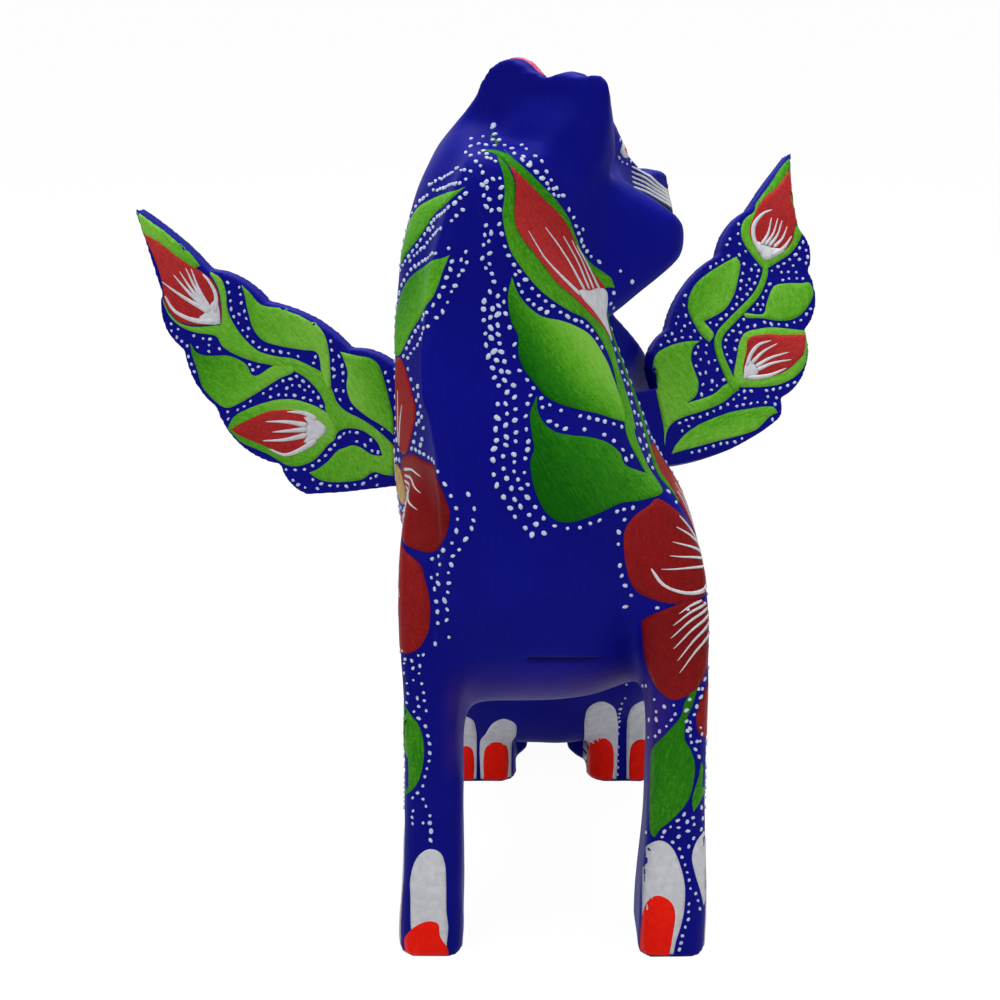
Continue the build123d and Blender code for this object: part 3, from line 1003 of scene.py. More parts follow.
def paint_left_wing(plate):
    patch(
        plate, "green", [(61, 74), (62, 71), (61.3, 68.5), (59.4, 63), (58.3, 57.5), (58.6, 53),
        (56.3, 49.5), (52.5, 46.5), (47.5, 44.5), (44.8, 43.5), (43, 43), (41.5, 45), (39.5, 48.5),
        (38.2, 52), (38.7, 55.3), (40.8, 57.8), (44, 59.3), (45.6, 61.7), (50.8, 66), (56.5, 71)],
        light=(0.57, -0.12, 0.0), tone=0.3,
    )
    patch(
        plate, "red", [(59.5, 70.5), (59.3, 65.5), (58.1, 60.5), (57.6, 56), (55.8, 53), (54, 49.7),
        (50, 47.2), (43.7, 46.2), (41.8, 49), (40.9, 52.5), (41.7, 55.5), (43.8, 58.3),
        (45.8, 60.7), (48.8, 63.2), (53.8, 65.8)], level=2, light=(0.57, 0.08, 0.0), tone=0.5,
    )
    patch(
        plate, "white", [(43.8, 45.6), (42.4, 48), (42.3, 51), (43.2, 50.8), (44.4, 49.8),
        (45.4, 49.4), (46.4, 48.8), (48.2, 48.4), (50, 48), (51, 47.4), (47.8, 46.3)], level=3,
        keep=False,
    )
    roots_tips = (
        ((43.6, 49.8), (49, 57)), ((44.8, 49.6), (51, 56.6)),
        ((46, 49.2), (52.2, 55.8)), ((47.5, 48.8), (53.4, 54)),
    )
    bowed(plate, roots_tips, 0.5, (0.5, -0.5))
    stroke(
        plate, "white", [(43, 47.5), (41.8, 51.5), (42.8, 55.5), (46.5, 58.4), (49.8, 59.2)], 0.6,
        0.15, level=4, middle=0.6,
    )
    stroke(
        plate, "white", [(46, 46.6), (50.5, 48.2), (54.2, 51.2)], 0.6, 0.15, level=4, middle=0.45,
    )
    stroke(
        plate, "green", [(43.7, 44), (42, 40.5), (38.5, 36.5), (34, 33.5), (29, 30.5), (24.5, 27.5),
        (22.7, 24.5), (22.7, 20.5), (23.7, 16), (24.8, 11.5)], 0.8, 1.2, level=2, light=0.6,
        keep=True, middle=1.0,
    )
    patch(
        plate, "green", [(35, 47.6), (35.7, 45.3), (33.9, 41.5), (31.5, 37.5), (28, 34), (24, 32.3),
        (20, 31.3), (22.2, 27.5), (20.3, 25.5), (18.2, 28), (16.7, 32), (16.2, 35), (17.3, 38.3),
        (20.3, 41.6), (24.7, 44), (30, 46)], light=(0.65, 0.0, -0.12), tone=0.6,
    )
    patch(
        plate, "green", [(45.5, 38.3), (49.5, 38.3), (53.8, 37.8), (56.4, 37.6), (56.8, 34.5),
        (54.6, 31.7), (51.3, 29.3), (47.5, 28.2), (43, 28.6), (38.5, 29.8), (33.5, 30.6), (33, 32),
        (39, 30.9), (41, 33.5), (43.5, 37)], light=(0.65, 0.05, 0.1), tone=0.4,
    )
    patch(
        plate, "green", [(3.6, 24.6), (7.5, 26), (13, 26.6), (17.5, 26.2), (15, 24.8), (13.5, 22),
        (13.5, 19), (14, 15.5), (12.5, 12), (9, 10.2), (17.5, 11.4), (22, 13.5), (25.5, 13.6),
        (26, 11.5), (23.5, 10.5), (20.5, 9), (16.5, 8), (12, 7.3), (7.5, 6.8), (4, 6), (1.8, 4.6),
        (0.4, 2.6), (-0.6, 0), (0.4, 5), (0.6, 13), (1, 18), (1.8, 22)], light=(0.65, 0.0, 0.14),
        tone=0.8,
    )
    patch(
        plate, "green", [(25.5, 16), (27.5, 20), (29.5, 24), (32, 26.5), (36, 27), (41.5, 26.8),
        (51.4, 24.6), (50.4, 18), (49, 15.8), (45.3, 12.9), (40, 11.3), (34, 11.2), (27.5, 12),
        (25, 12.5)], light=(0.70, 0.05, 0.0), tone=0.2,
    )
    patch(
        plate, "red", [(27.9, 14.2), (29, 18), (31, 21.5), (32.7, 24.9), (38, 25.3), (44, 24.4),
        (51, 23.6), (50.2, 21), (48.8, 18.2), (46.3, 16.6), (42.5, 14.7), (37, 13.6)], level=2,
        light=(0.57, -0.1, 0.0), tone=0.7,
    )
    patch(
        plate, "white", [(27.9, 14.2), (29.4, 17.6), (31, 19.6), (32.4, 17.6), (33.2, 16.4),
        (33, 15.2), (32, 14.6), (30.6, 14.1)], level=3, keep=False,
    )
    roots_tips = (
        ((31.6, 18), (41, 22.2)), ((32.6, 17), (44.2, 19.4)), ((32.8, 16), (44.4, 17.3)),
    )
    bowed(plate, roots_tips, 0.55, (-0.3, 0.5))
    stroke(
        plate, "white", [(30, 17.6), (32.4, 20.8), (35.6, 22.8), (39.4, 23.3)], 0.55, 0.12, level=4,
        middle=0.5,
    )
    stroke(plate, "white", [(29.4, 14.3), (36, 14), (42.2, 15.2)], 0.6, 0.15, level=4, middle=0.5)
    patch(
        plate, "green", [(0.8, -2.4), (2.5, -0.5), (6, 2), (9.5, 3.5), (13, 4.5), (18.5, 5.5),
        (23, 6), (27.5, 6), (32, 5.9), (35.4, 5.3), (36.2, 3.6), (33.6, 3), (31, 1.5), (28.5, 0.2),
        (25.5, -0.4), (21, -0.8), (15.5, -1.1), (9.5, -1.6), (4, -2)], light=(0.65, 0.1, 0.12),
        tone=0.5,
    )


right_board = scallops(RIGHT_CORNERS, RIGHT_CROWNS)
left_board = scallops(LEFT_CORNERS, LEFT_CROWNS)
carriers = []
for facing in ("front", "back"):
    for name, root, side, sweep, lean, paint, board in (
        ("right_wing", RIGHT_ROOT, -1, 18, 6, paint_right_wing, right_board),
        ("left_wing", LEFT_ROOT, 1, 28, 28, paint_left_wing, left_board),
    ):
        plate = wing_plate(name, root, side, sweep, lean, facing)
        paint(plate)
        for outlines, offset in ((plate.outlines, 1.15), ([board], 1.5), (plate.outlines, 3.0)):
            halo_dots(plate, outlines, (offset,), region=board)
        carriers.append(plate)

# ---------------------------------------------------------------- neck, chest and shoulders

TRUNK_AXIS = [
    (0, 0, 35), (60, 0, 35), (120, -5, 35), (150, -11, 32), (180, -16, 33), (215, -16, 36),
]
trunk = Column("figure_skin", "figure", "trunk", TRUNK_AXIS, 33.0)
carriers.append(trunk)

# the great bud on the neck: its two sepals, the petal and the white foot
patch(
    trunk, "green", [(-9, 205.2), (-3, 205.6), (4.5, 204.8), (9, 202.8), (15, 199.8), (21.5, 195.6),
    (27, 191.8), (31.5, 187.8), (34.5, 183.8), (39, 179), (46.5, 173), (48, 169), (44, 170),
    (38, 176.5), (33, 182), (27, 188), (21, 192), (15, 196.4), (9, 199.6), (4.5, 202.4),
    (-3, 204.2)], light=(0.4, -0.1, 0.0), tone=0.5,
)
patch(
    trunk, "green", [(2, 203), (4.5, 199), (5, 194.5), (4, 190.5), (5, 186), (7, 182), (10.5, 178),
    (12.5, 175.8), (16, 172.5), (20.5, 169.5), (26, 166.5), (32.5, 163.5), (36, 159.5), (38, 154),
    (38, 148.5), (35.5, 142), (36, 136), (40.5, 148), (42.5, 156), (41.5, 160), (39.6, 161.5),
    (34.5, 165), (29, 169.5), (23.5, 173.5), (20, 177.5), (16.5, 181), (12.5, 184), (9.5, 187.5),
    (9, 191.5), (9.5, 196.5), (7, 200.5)], light=(0.5, -0.12, 0.1), tone=0.2,
)
patch(
    trunk, "red", [(8, 201), (15, 197), (21, 193), (27, 189.3), (31, 186), (34, 182.6),
    (38.5, 177.8), (45.5, 171), (46.6, 166), (46, 161), (44.6, 157), (43, 157.6), (39.4, 161.4),
    (34.5, 165), (29, 169.5), (23.5, 173.5), (20, 177.5), (16.5, 181), (12.5, 184), (9.5, 187.5),
    (9, 191.5), (9.8, 196.5)], level=2, light=(0.62, -0.1, 0.1), tone=0.7,
)
patch(
    trunk, "white", [(43.6, 156.6), (41.6, 160), (37.5, 164.6), (33, 168.4), (31.6, 170.6),
    (34.6, 170.6), (37.4, 169.8), (40.4, 169.6), (43.6, 169.4), (46.6, 168.4), (46.6, 163)],
    level=3, keep=False,
)
for root, tip, bend in (
    ((31.8, 169.8), (14.5, 186), -0.6), ((35, 170.4), (21, 186.6), 1.2),
    ((38, 170.2), (28.4, 184), 1.2), ((41, 169.8), (32.6, 182.6), 1.0),
    ((44.4, 169), (35.4, 181), 1.0),
):
    bowed(trunk, [(root, tip)], 0.55, (bend, bend * 0.5), middle=0.26)
# leaves under it
patch(
    trunk, "green", [(6.5, 175.4), (7.5, 172), (10, 169), (15, 166), (22, 164.5), (27.5, 162.5),
    (32.4, 159.5), (35.4, 154), (36, 150), (35, 144.5), (33.4, 138.5), (28.5, 140.5), (24, 142.5),
    (19, 144), (14, 145.5), (10, 147.5), (7.5, 150.5), (4.5, 154), (3.5, 157.5), (4.6, 161.5),
    (3, 165), (3, 169), (4, 172)], light=(0.5, 0.0, -0.45), tone=0.3,
)
patch(
    trunk, "green", [(7, 147.8), (6, 144.5), (7, 141.5), (9.5, 139.5), (13.5, 138.5), (19, 137.5),
    (23.5, 135.5), (26.3, 132.5), (26.5, 129.5), (30.5, 127), (34.5, 124.5), (34, 121.2),
    (27.5, 120.5), (21, 121), (14, 119.5), (8.5, 118.3), (5, 118.4), (2, 120.5), (0.5, 124.5),
    (0, 129), (0.5, 133), (2.3, 136), (2.5, 139.5), (3.5, 144)], light=(0.27, 0.0, -0.24), tone=0.6,
)
# the stem that they grow from, and the thin leaf behind it
stroke(
    trunk, "green", [(41.5, 158), (39.4, 150.5), (37.8, 145.5), (35.6, 140.5), (33, 135.5),
    (33.4, 129), (34.6, 122.6)], 1.2, 0.9, light=0.5, keep=True, middle=2.3,
)
patch(
    trunk, "green", [(48.5, 163), (49.5, 157), (49.6, 150), (47.6, 142), (45, 137), (42.8, 130.5),
    (41.5, 124), (36.5, 117.5), (37.5, 123), (39.8, 129), (42, 136), (44, 142), (45.6, 150),
    (46.4, 157)], light=(0.35, 0.0, 0.1), tone=0.9,
)
# leaves at the neck's other side
patch(
    trunk, "green", [(-11.5, 196.2), (-17.5, 194.8), (-34, 191.8), (-45, 189), (-50.5, 186),
    (-54, 181), (-56, 175), (-52, 174), (-47.5, 177), (-41.5, 181), (-36, 185), (-31, 188.3),
    (-19.5, 192.3)], light=(0.55, 0.0, 0.1), tone=0.4,
)
patch(
    trunk, "green", [(-16, 180.7), (-19, 179.8), (-24, 178.6), (-37.5, 174.2), (-44.5, 170.4),
    (-49, 166), (-53, 160), (-54, 153), (-50, 151.5), (-45, 153.5), (-39, 159.5), (-33, 164),
    (-24, 169.5), (-21, 173), (-19, 176.5)], light=(0.52, 0.05, -0.12), tone=0.7,
)


def petal(outline, roots, tips, width=0.4, tone=0.5, light=(0.4, 0.0, 0.0), carrier=trunk):
    """A red petal with white strokes that run in from its root."""
    patch(carrier, "red", outline, light=light, tone=tone)
    for root, tip in zip(roots, tips):
        root, tip = np.array(root, float), np.array(tip, float)
        lift = np.array([0.0, 0.07 * np.linalg.norm(tip - root)])
        stroke(
            carrier, "white", [root, (root + tip) / 2 + lift, tip], width, 0.1, level=3,
            middle=width * 0.7,
        )


# the flower of the left shoulder
petal(
    [(31.5, 120), (28.5, 119), (24, 117), (21, 114), (20.2, 109), (20.6, 103.5), (21.6, 100),
    (23.2, 97.6), (26, 96.6), (29, 97.2), (32, 98.6), (35, 100.4), (37, 103.4), (36.4, 109),
    (34.6, 115)], [(36, 103), (36, 104.2), (36, 105.2), (36.2, 106.6), (36.2, 108)], [(26, 104.6),
    (28, 107.6), (29.5, 110.6), (31.5, 113.6), (33.5, 115.6)], 0.35, 0.2, (0.32, 0.0, 0.12),
)
stroke(
    trunk, "white", [(36, 102.4), (32, 99.6), (28.4, 99), (25.6, 100.8), (24.8, 104.6)], 0.6, 0.15,
    level=3, middle=0.4,
)
petal(
    [(37.4, 104), (38, 110), (37, 117), (38.5, 124), (42, 130), (48, 128), (52, 120), (52, 110),
    (47, 104)], [(39.4, 105.4), (41.4, 105.4), (43.6, 105.6)], [(40, 119), (44.5, 119.5),
    (48.5, 116)], 0.4, 0.8,
)
petal([(38.6, 95), (39, 88), (37.6, 82), (40, 76), (46, 75), (52, 80), (53, 88), (48, 94)],
      [(40.4, 94), (42, 94), (44, 93.6)], [(41, 81), (45, 80), (49, 83)], 0.4, 0.6)
petal([(45, 99), (51, 105), (59, 106), (66, 102), (67, 96), (60, 91), (51, 93)],
      [(47, 100), (47, 99), (47, 98)], [(60, 103), (62, 98.6), (60, 94.4)], 0.4, 0.1)
petal(
    [(29.6, 76.2), (32.6, 79.6), (35.4, 80.2), (36.6, 74), (36, 67), (33, 61), (29.6, 60.6),
    (26.8, 62.6), (26.2, 67), (27, 72)], [], [], 0.4, 0.9,
)
patch(
    trunk, "tan", [(36, 105.5), (38.6, 107), (42, 104.5), (44, 99.4), (42, 95.4), (38.4, 95),
    (36.8, 99)], level=3,
)

# the flower of the right shoulder
petal(
    [(-46, 152), (-41.5, 149), (-38.6, 144.5), (-36.8, 140.5), (-38.6, 135.5), (-42.4, 129),
    (-47, 126.4), (-52, 130), (-54, 140), (-51, 149)], [(-50, 129), (-49, 128)],
    [(-48, 143), (-45, 140)], 0.35, 0.2, (0.45, 0.0, 0.0),
)
petal(
    [(-40, 128.4), (-33, 128.8), (-23, 129.6), (-20.4, 127), (-19.5, 125), (-18.5, 121.5),
    (-19, 117), (-20.4, 113.5), (-25, 109), (-29.5, 109.4), (-36, 112), (-45, 115.4), (-49, 119),
    (-47, 125)], [(-46, 122.6), (-46, 121), (-46.4, 119.4), (-46, 118), (-45, 116.8)],
    [(-34, 124.4), (-32, 121), (-31, 117.4), (-34, 115), (-33.4, 112)], 0.4, 0.5, (0.3, 0.0, 0.12),
)
petal(
    [(-40, 112.4), (-31.6, 109), (-27, 106), (-25.3, 102.5), (-23.9, 98.5), (-23.7, 94),
    (-24.3, 89), (-26.4, 84.6), (-31, 84), (-36, 88), (-41, 96), (-44, 104), (-43.5, 110)],
    [(-41, 109.4), (-40.4, 107), (-40.4, 105)], [(-31, 102.4), (-29.6, 97.4), (-30, 92)], 0.4, 0.8,
)
petal([(-56, 118), (-62, 124), (-70, 124), (-73, 117), (-68, 111), (-60, 111)],
      [(-58, 118), (-58, 116.6), (-58, 115)], [(-68, 121), (-70, 117), (-67, 113)], 0.4, 0.1)
petal([(-50, 108), (-48, 100), (-52, 92), (-59, 91), (-63, 98), (-59, 106)],
      [(-52, 107), (-54, 107)], [(-53, 96), (-58, 97)], 0.4, 0.4)
patch(
    trunk, "tan", [(-50, 121), (-55, 120.5), (-56.4, 115.4), (-53, 111.4), (-48.6, 112.6),
    (-47, 117)], level=3,
)

fore = Plate("figure_skin", "figure", "forelegs", (0, 0, 0), (1, 0, 0), (0, 0, 1), (0, -1, 0), 0.12)
petal(
    [(20.6, 91), (20.6, 88), (21.2, 81.4), (22.4, 77.4), (24.8, 74.2), (27.8, 72.4), (31, 73.3),
    (34.3, 75.8), (36, 79), (38, 84), (38.4, 90), (36.6, 95.2), (33.8, 97.3), (29.2, 96.6),
    (23.8, 94.1)], [(34.6, 97), (35.4, 96), (36, 94.8), (36.6, 93.2), (37, 91.4), (37.4, 89)],
    [(29.1, 94.3), (27.7, 91.4), (27.2, 88.3), (27.9, 85.7), (28.9, 82.7), (29.5, 79.6)], 0.36, 0.5,
    (0.3, 0.0, 0.05), fore,
)
petal(
    [(37.2, 97.4), (39.6, 90), (38.6, 84), (40.4, 79), (43, 82), (43, 92)], [], [], 0.4, 0.6,
    (0.4, 0.0, 0.0), fore,
)

nape = Plate(
    "figure_skin", "figure", "nape", HEAD, (1, 0, 0), (0, sin(radians(20)), cos(radians(20))),
    (0, -cos(radians(20)), sin(radians(20))), 0.12,
)
carriers.append(nape)
stroke(
    nape, "green", [(-7.4, 1.6), (-9.6, 5.0), (-11.7, 7.1), (-14, 8.3), (-17, 8.8)], 1.1, 0.15,
    light=0.4, keep=True, middle=0.8,
)
for points in ([(-19.8, 11.6), (-17, 12.3), (-14.2, 11.5), (-11.2, 11.2), (-9, 10.2)],
               [(-20, 9.7), (-18, 7.2), (-16, 5.3), (-15, 2.5), (-15, 0)],
               [(-9, 10.4), (-6.4, 8), (-3.4, 4.6), (-1, 1.2), (1.2, -2.4)]):
    line_dots(nape, points, spacing=2.2, rows=2, row_gap=1.9, radius=0.55, clear=0.5)

# rows of dots
halo_dots(trunk, list(trunk.outlines), (1.5,), spacing=2.6, radius=0.6)
line_dots(trunk, [(24, 196.4), (27, 194), (33, 188), (40, 181)], rows=2, row_gap=2.0, radius=0.52)
line_dots(trunk, [(-3.6, 197), (-1.4, 190), (-3, 180), (-2, 172)], rows=2, radius=0.6)
line_dots(
    trunk, [(-3, 172), (-5.4, 160), (-3, 150), (-5, 140), (-6.4, 130), (-3, 121), (1, 115.6)],
    rows=3, row_gap=2.6, radius=0.7,
)
line_dots(trunk, [(-46, 192), (-34, 195.4), (-20, 198), (-10, 198.4)], rows=2, radius=0.5)
line_dots(trunk, [(-46, 176), (-36, 181), (-25, 186), (-18, 189), (-11, 193)], rows=2, radius=0.56)
line_dots(
    trunk, [(-41, 154), (-31, 161.4), (-22, 167), (-15, 176), (-9.5, 181)], rows=2, radius=0.56,
)
line_dots(
    trunk, [(-36.6, 148), (-33.6, 138), (-34.6, 131), (-17.4, 127), (-15.4, 118), (-19.6, 110),
    (-21.6, 99), (-22.4, 87)], rows=2, radius=0.62,
)
line_dots(
    trunk, [(47.6, 161), (46.4, 152), (44.8, 146), (42.8, 138), (40.6, 130), (38, 123)], rows=1,
    radius=0.4, clear=0.3,
)
line_dots(trunk, [(20.5, 95.6), (23, 95), (26, 96.4)], rows=2, radius=0.55, clear=0.5)

# ---------------------------------------------------------------- legs, paws and toes

hind = Plate(
    "figure_skin", "figure", "hind_paws", (0, 106, 0), (1, 0, 0), (0, 0, 1), (0, -1, 0), 0.12,
)
carriers += [fore, hind]


def toe(carrier, middle, top, width, nail_top, low=1.0, lean=0.0):
    """A pale toe with a bright nail at the ground."""
    half = width / 2
    shoulder = top - half * 0.9
    patch(
        carrier, "white", [(middle + lean, top), (middle + half * 0.75 + lean, top - half * 0.5),
        (middle + half + lean * 0.6, shoulder - 3), (middle + half * 1.05, (top + low) / 2),
        (middle + half, low), (middle - half, low), (middle - half * 1.05, (top + low) / 2),
        (middle - half + lean * 0.6, shoulder - 3), (middle - half * 0.75 + lean,
        top - half * 0.5)], light=(0.5, 0, 0),
    )
    wide = half * 0.82
    patch(
        carrier, "orange", [(middle, nail_top), (middle + wide * 0.8, nail_top - wide * 0.5),
        (middle + wide, nail_top * 0.5), (middle + wide * 0.9, low - 0.4),
        (middle - wide * 0.95, low - 0.4), (middle - wide, nail_top * 0.5), (middle - wide * 0.8,
        nail_top - wide * 0.6)], level=2, light=(0.5, 0, 0), keep=False,
    )


patch(
    fore, "white", [(-32, 31.4), (-34.4, 30), (-36, 27), (-37, 22), (-37, 17), (-37, 9),
    (-36.4, 1.2), (-28, 1.2), (-28, 4), (-27.6, 9), (-28, 14), (-28, 21), (-28.2, 27),
    (-29.4, 30.4)],
)
patch(
    fore, "orange", [(-32, 11), (-30, 10), (-29.6, 6.4), (-27.8, 3), (-27.6, 0.8), (-38.6, 0.8),
    (-38.6, 5), (-36.6, 8.6), (-34.4, 10.4)], level=2,
)
patch(
    fore, "white", [(26.4, 33.6), (24, 32.4), (22.4, 29), (22, 22), (22, 10), (22, 1.2), (30, 1.2),
    (30.6, 5), (31.6, 9), (32.4, 14), (32.4, 21), (31, 27), (29, 31.6)],
)
patch(
    fore, "orange", [(26, 18.2), (23.6, 16.6), (22.2, 12), (21.8, 5), (21.8, 0.8), (29, 0.8),
    (29.6, 6), (30.2, 12.6), (29, 16.4)], level=2,
)
patch(
    fore, "white", [(37, 35), (35, 33), (34, 29), (35, 24), (36.6, 18.4), (37.6, 14), (38.8, 20),
    (38.8, 30)],
)
patch(
    fore, "green", [(-38, 70), (-36, 67.6), (-34.2, 65), (-33.2, 61), (-33.2, 57), (-34, 52),
    (-35.2, 49), (-38, 45), (-39, 52), (-39.4, 62)], light=(0.42, 0.0, 0.0),
)
patch(
    fore, "green", [(34.6, 78), (32.6, 74.6), (31, 72), (30, 68), (27, 63.6), (24.4, 59.4),
    (23.4, 56), (23.2, 48), (23.2, 40), (23.6, 35), (24.6, 34.2), (26, 37), (29, 40), (32, 44),
    (33.4, 48), (34, 54), (33, 58.4), (31.2, 62), (31.4, 67), (33, 71.4)], light=(0.34, -0.06, 0.0),
    tone=0.4,
)
patch(
    fore, "green", [(37.6, 59), (36, 57), (35, 51), (33.6, 45.6), (34, 41.6), (35.6, 44),
    (37.4, 48)], light=(0.4, 0.0, 0.0),
)
fore.outlines += [np.array([(24, 86), (28, 75), (33, 79), (38, 86)], float)]
halo_dots(fore, list(fore.outlines[4:]), (1.3,), spacing=2.2, radius=0.5)
line_dots(fore, [(24, 72.4), (24.4, 66), (26, 62)], rows=3, row_gap=2.2, radius=0.55)
line_dots(fore, [(28.4, 71), (28, 66)], rows=1, radius=0.55)
line_dots(fore, [(27, 35.6), (30, 37), (33, 39.6), (36, 41)], rows=3, row_gap=2.1, radius=0.55)
line_dots(fore, [(34, 66), (34.6, 60), (35.4, 62), (37, 60)], rows=2, row_gap=1.8, radius=0.45)
line_dots(fore, [(-36, 84), (-35.4, 76), (-34, 69)], rows=3, row_gap=1.9, radius=0.42)
line_dots(fore, [(-34.4, 68), (-32.4, 61), (-32.2, 52), (-34, 46)], rows=1, radius=0.5)
line_dots(fore, [(-35.4, 45), (-34, 41), (-34, 37)], rows=3, row_gap=2.0, radius=0.5)
line_dots(fore, [(-32, 44), (-31.6, 38), (-31.6, 34)], rows=1, radius=0.62)
toe(hind, -24.6, 24.4, 6.4, 12.0)
toe(hind, -15.6, 24.0, 9.0, 13.6, lean=2.4)
toe(hind, 15.6, 30.4, 9.6, 14.6, lean=-0.6)
toe(hind, 27.2, 29.0, 7.6, 14.0)

# ---------------------------------------------------------------- face

right_cheek = Plate("figure_skin", "figure", "right_cheek", HEAD, HEAD_FORWARD, UP, HEAD_RIGHT, 0.1)
left_cheek = Plate("figure_skin", "figure", "left_cheek", HEAD, HEAD_FORWARD, UP, -HEAD_RIGHT, 0.1)
muzzle = Plate("figure_skin", "figure", "muzzle", HEAD, HEAD_RIGHT, UP, HEAD_FORWARD, 0.1)
brow = Plate("figure_skin", "figure", "brow", HEAD, HEAD_RIGHT, HEAD_FORWARD, UP, 0.1)
for cheek in (right_cheek, left_cheek):
    patch(
        cheek, "red", [(25, -4.4), (31, -5.6), (37, -7.6), (42, -9.8), (46.4, -12), (46, -15),
        (40, -15.4), (33, -14.4), (26, -12)], light=(0.25, 0, 0),
    )
    stroke(
        cheek, "black", [(24.6, -3.6), (31, -4.8), (38, -7.2), (46.6, -11.4)], 0.35, 0.3, level=2,
        middle=0.35,
    )
    for k in range(6):
        drop = 1.25 * k
        stroke(
            cheek, "white", [(25, 5.4 - drop), (33, 2.0 - drop * 0.9), (40, -1.8 - drop * 0.84),
            (45.4, -5.0 - drop * 0.74)], 0.22, 0.36, level=1, middle=0.3,
        )
    patch(
        cheek, "tan", [(45.6, -5.4), (47.4, -6.4), (47.8, -10), (47.6, -12), (46.4, -12), (46, -9)],
        level=2,
    )
    patch(
        cheek, "white", [(27, 9.4), (24.4, 11.6), (20.6, 11.4), (18, 9), (20.8, 7), (24.6, 7)],
        level=1,
    )
    patch(
        cheek, "orange", [(24.4, 10.6), (22, 10.6), (20.8, 9.2), (22, 7.8), (24.4, 7.8)], level=2,
        keep=False,
    )
    patch(
        cheek, "black", [(23.8, 10), (22.4, 10), (21.8, 9.2), (22.6, 8.4), (23.8, 8.6)], level=3,
        keep=False,
    )
    stroke(cheek, "black", [(27.6, 9.4), (24.4, 12.2), (20.4, 12), (17.4, 9)], 0.3, 0.2, level=2)
    halo_dots(cheek, cheek.outlines[2:3], (1.6,), spacing=2.2, radius=0.45)
patch(muzzle, "black", [(-4, -6.6), (0, -5.4), (4, -6.6), (3, -9.6), (0, -11), (-3, -9.6)], level=3)
patch(
    muzzle, "tan", [(-6, -8), (-3.6, -10.4), (0, -11.8), (3.6, -10.4), (6, -8), (6, -12.4),
    (0, -13.6), (-6, -12.4)], level=2,
)
stroke(brow, "pink", [(-11, -1.2), (-6, -0.6), (-1.4, -1.2)], 0.5, 0.5, level=1, middle=0.9)
for side in (-1, 1):
    patch(
        muzzle, "pink", [(side * 3.6, 24.6), (side * 6, 27), (side * 9.4, 27.6), (side * 12, 26),
        (side * 12, 22.4), (side * 8, 21.4), (side * 4.6, 22.2)], level=1,
    )
    stroke(brow, "white", [(side * 2, 12), (side * 2.6, 20), (side * 2, 30)], 0.4, 0.15, level=1)
stroke(brow, "tan", [(0, 4), (0, 18), (0, 32)], 0.6, 0.3, level=2)
line_dots(brow, [(-6, 6), (-5.4, 16), (-5, 26)], radius=0.5)
line_dots(brow, [(6, 6), (5.4, 16), (5, 26)], radius=0.5)
carriers += [right_cheek, left_cheek, muzzle, brow]

# ---------------------------------------------------------------- flanks, haunches, back and tail


def blossom(carrier, centre, size, petals=5, turn=0.3):
    """A round flower of separate petals with a pale eye and white strokes."""
    centre = np.array(centre, float)
    for k in range(petals):
        angle = turn + 2 * pi * k / petals
        out = np.array([cos(angle), sin(angle)])
        side = np.array([-out[1], out[0]])
        spots = [
            (0.22, 0.0), (0.45, 0.24), (0.78, 0.38), (1.02, 0.2), (1.04, -0.16), (0.8, -0.36),
            (0.46, -0.26),
        ]
        outline = [centre + size * (a * out + b * side) for a, b in spots]
        patch(carrier, "red", outline, light=(0.4, -0.12, 0.06), tone=0.13 * k)
        for b in (-0.2, 0.0, 0.2):
            stroke(
                carrier, "white", [centre + size * (0.26 * out + b * 0.3 * side),
                centre + size * (0.7 * out + b * side)], 0.4, 0.1, level=3,
            )
    angles = np.linspace(0, 2 * pi, 9)[:-1]
    ring = [centre + 0.2 * size * np.array([cos(a), sin(a)]) for a in angles]
    patch(carrier, "tan", ring, level=3)


def leaf(carrier, root, tip, width, light=0.5, tone=0.5):
    """A leaf with one fuller side, from its root to its tip."""
    root, tip = np.array(root, float), np.array(tip, float)
    ahead = tip - root
    side = np.array([-ahead[1], ahead[0]]) / np.linalg.norm(ahead) * width
    spots = [
        (1.0, 0.0), (0.8, 0.32), (0.5, 0.62), (0.2, 0.5), (0.0, 0.08), (0.0, -0.08), (0.24, -0.5),
        (0.55, -0.5), (0.85, -0.24),
    ]
    outline = [root + a * ahead + b * side for a, b in spots]
    patch(carrier, "green", outline, light=(light, -0.05, 0.16), tone=tone)


left_side = Plate(
    "figure_skin", "figure", "left_side", (0, 0, 0), (0, 1, 0), (0, 0, 1), (1, 0, 0), 0.25,
)
right_side = Plate(
    "figure_skin", "figure", "right_side", (0, 0, 0), (0, 1, 0), (0, 0, 1), (-1, 0, 0), 0.25,
)
rump = Plate("figure_skin", "figure", "rump", (0, 130, 0), (1, 0, 0), (0, 0, 1), (0, 1, 0), 0.25)
for side_plate in (left_side, right_side):
    blossom(side_plate, (112, 46), 21, 6, 0.2)
    leaf(side_plate, (92, 66), (70, 88), 10, 0.5, 0.2)
    leaf(side_plate, (90, 40), (66, 58), 9, 0.42, 0.5)
    leaf(side_plate, (110, 72), (112, 94), 10, 0.52, 0.7)
    leaf(side_plate, (128, 66), (136, 82), 8, 0.46, 0.9)
    leaf(side_plate, (18, 66), (10, 40), 9, 0.42, 0.3)
    leaf(side_plate, (22, 60), (26, 36), 8, 0.46, 0.6)
    halo_dots(side_plate, list(side_plate.outlines), (1.5, 3.6), spacing=2.6, radius=0.55)
    for middle in (7.5, 16.5):
        toe(side_plate, middle, 30, 6.6, 13)
    for middle in (101, 111.6):
        toe(side_plate, middle, 21, 7, 10)
blossom(rump, (0, 92), 13, 5, 1.57)
leaf(rump, (-6, 108), (-16, 130), 9, 0.5, 0.4)
leaf(rump, (6, 108), (16, 130), 9, 0.46, 0.8)
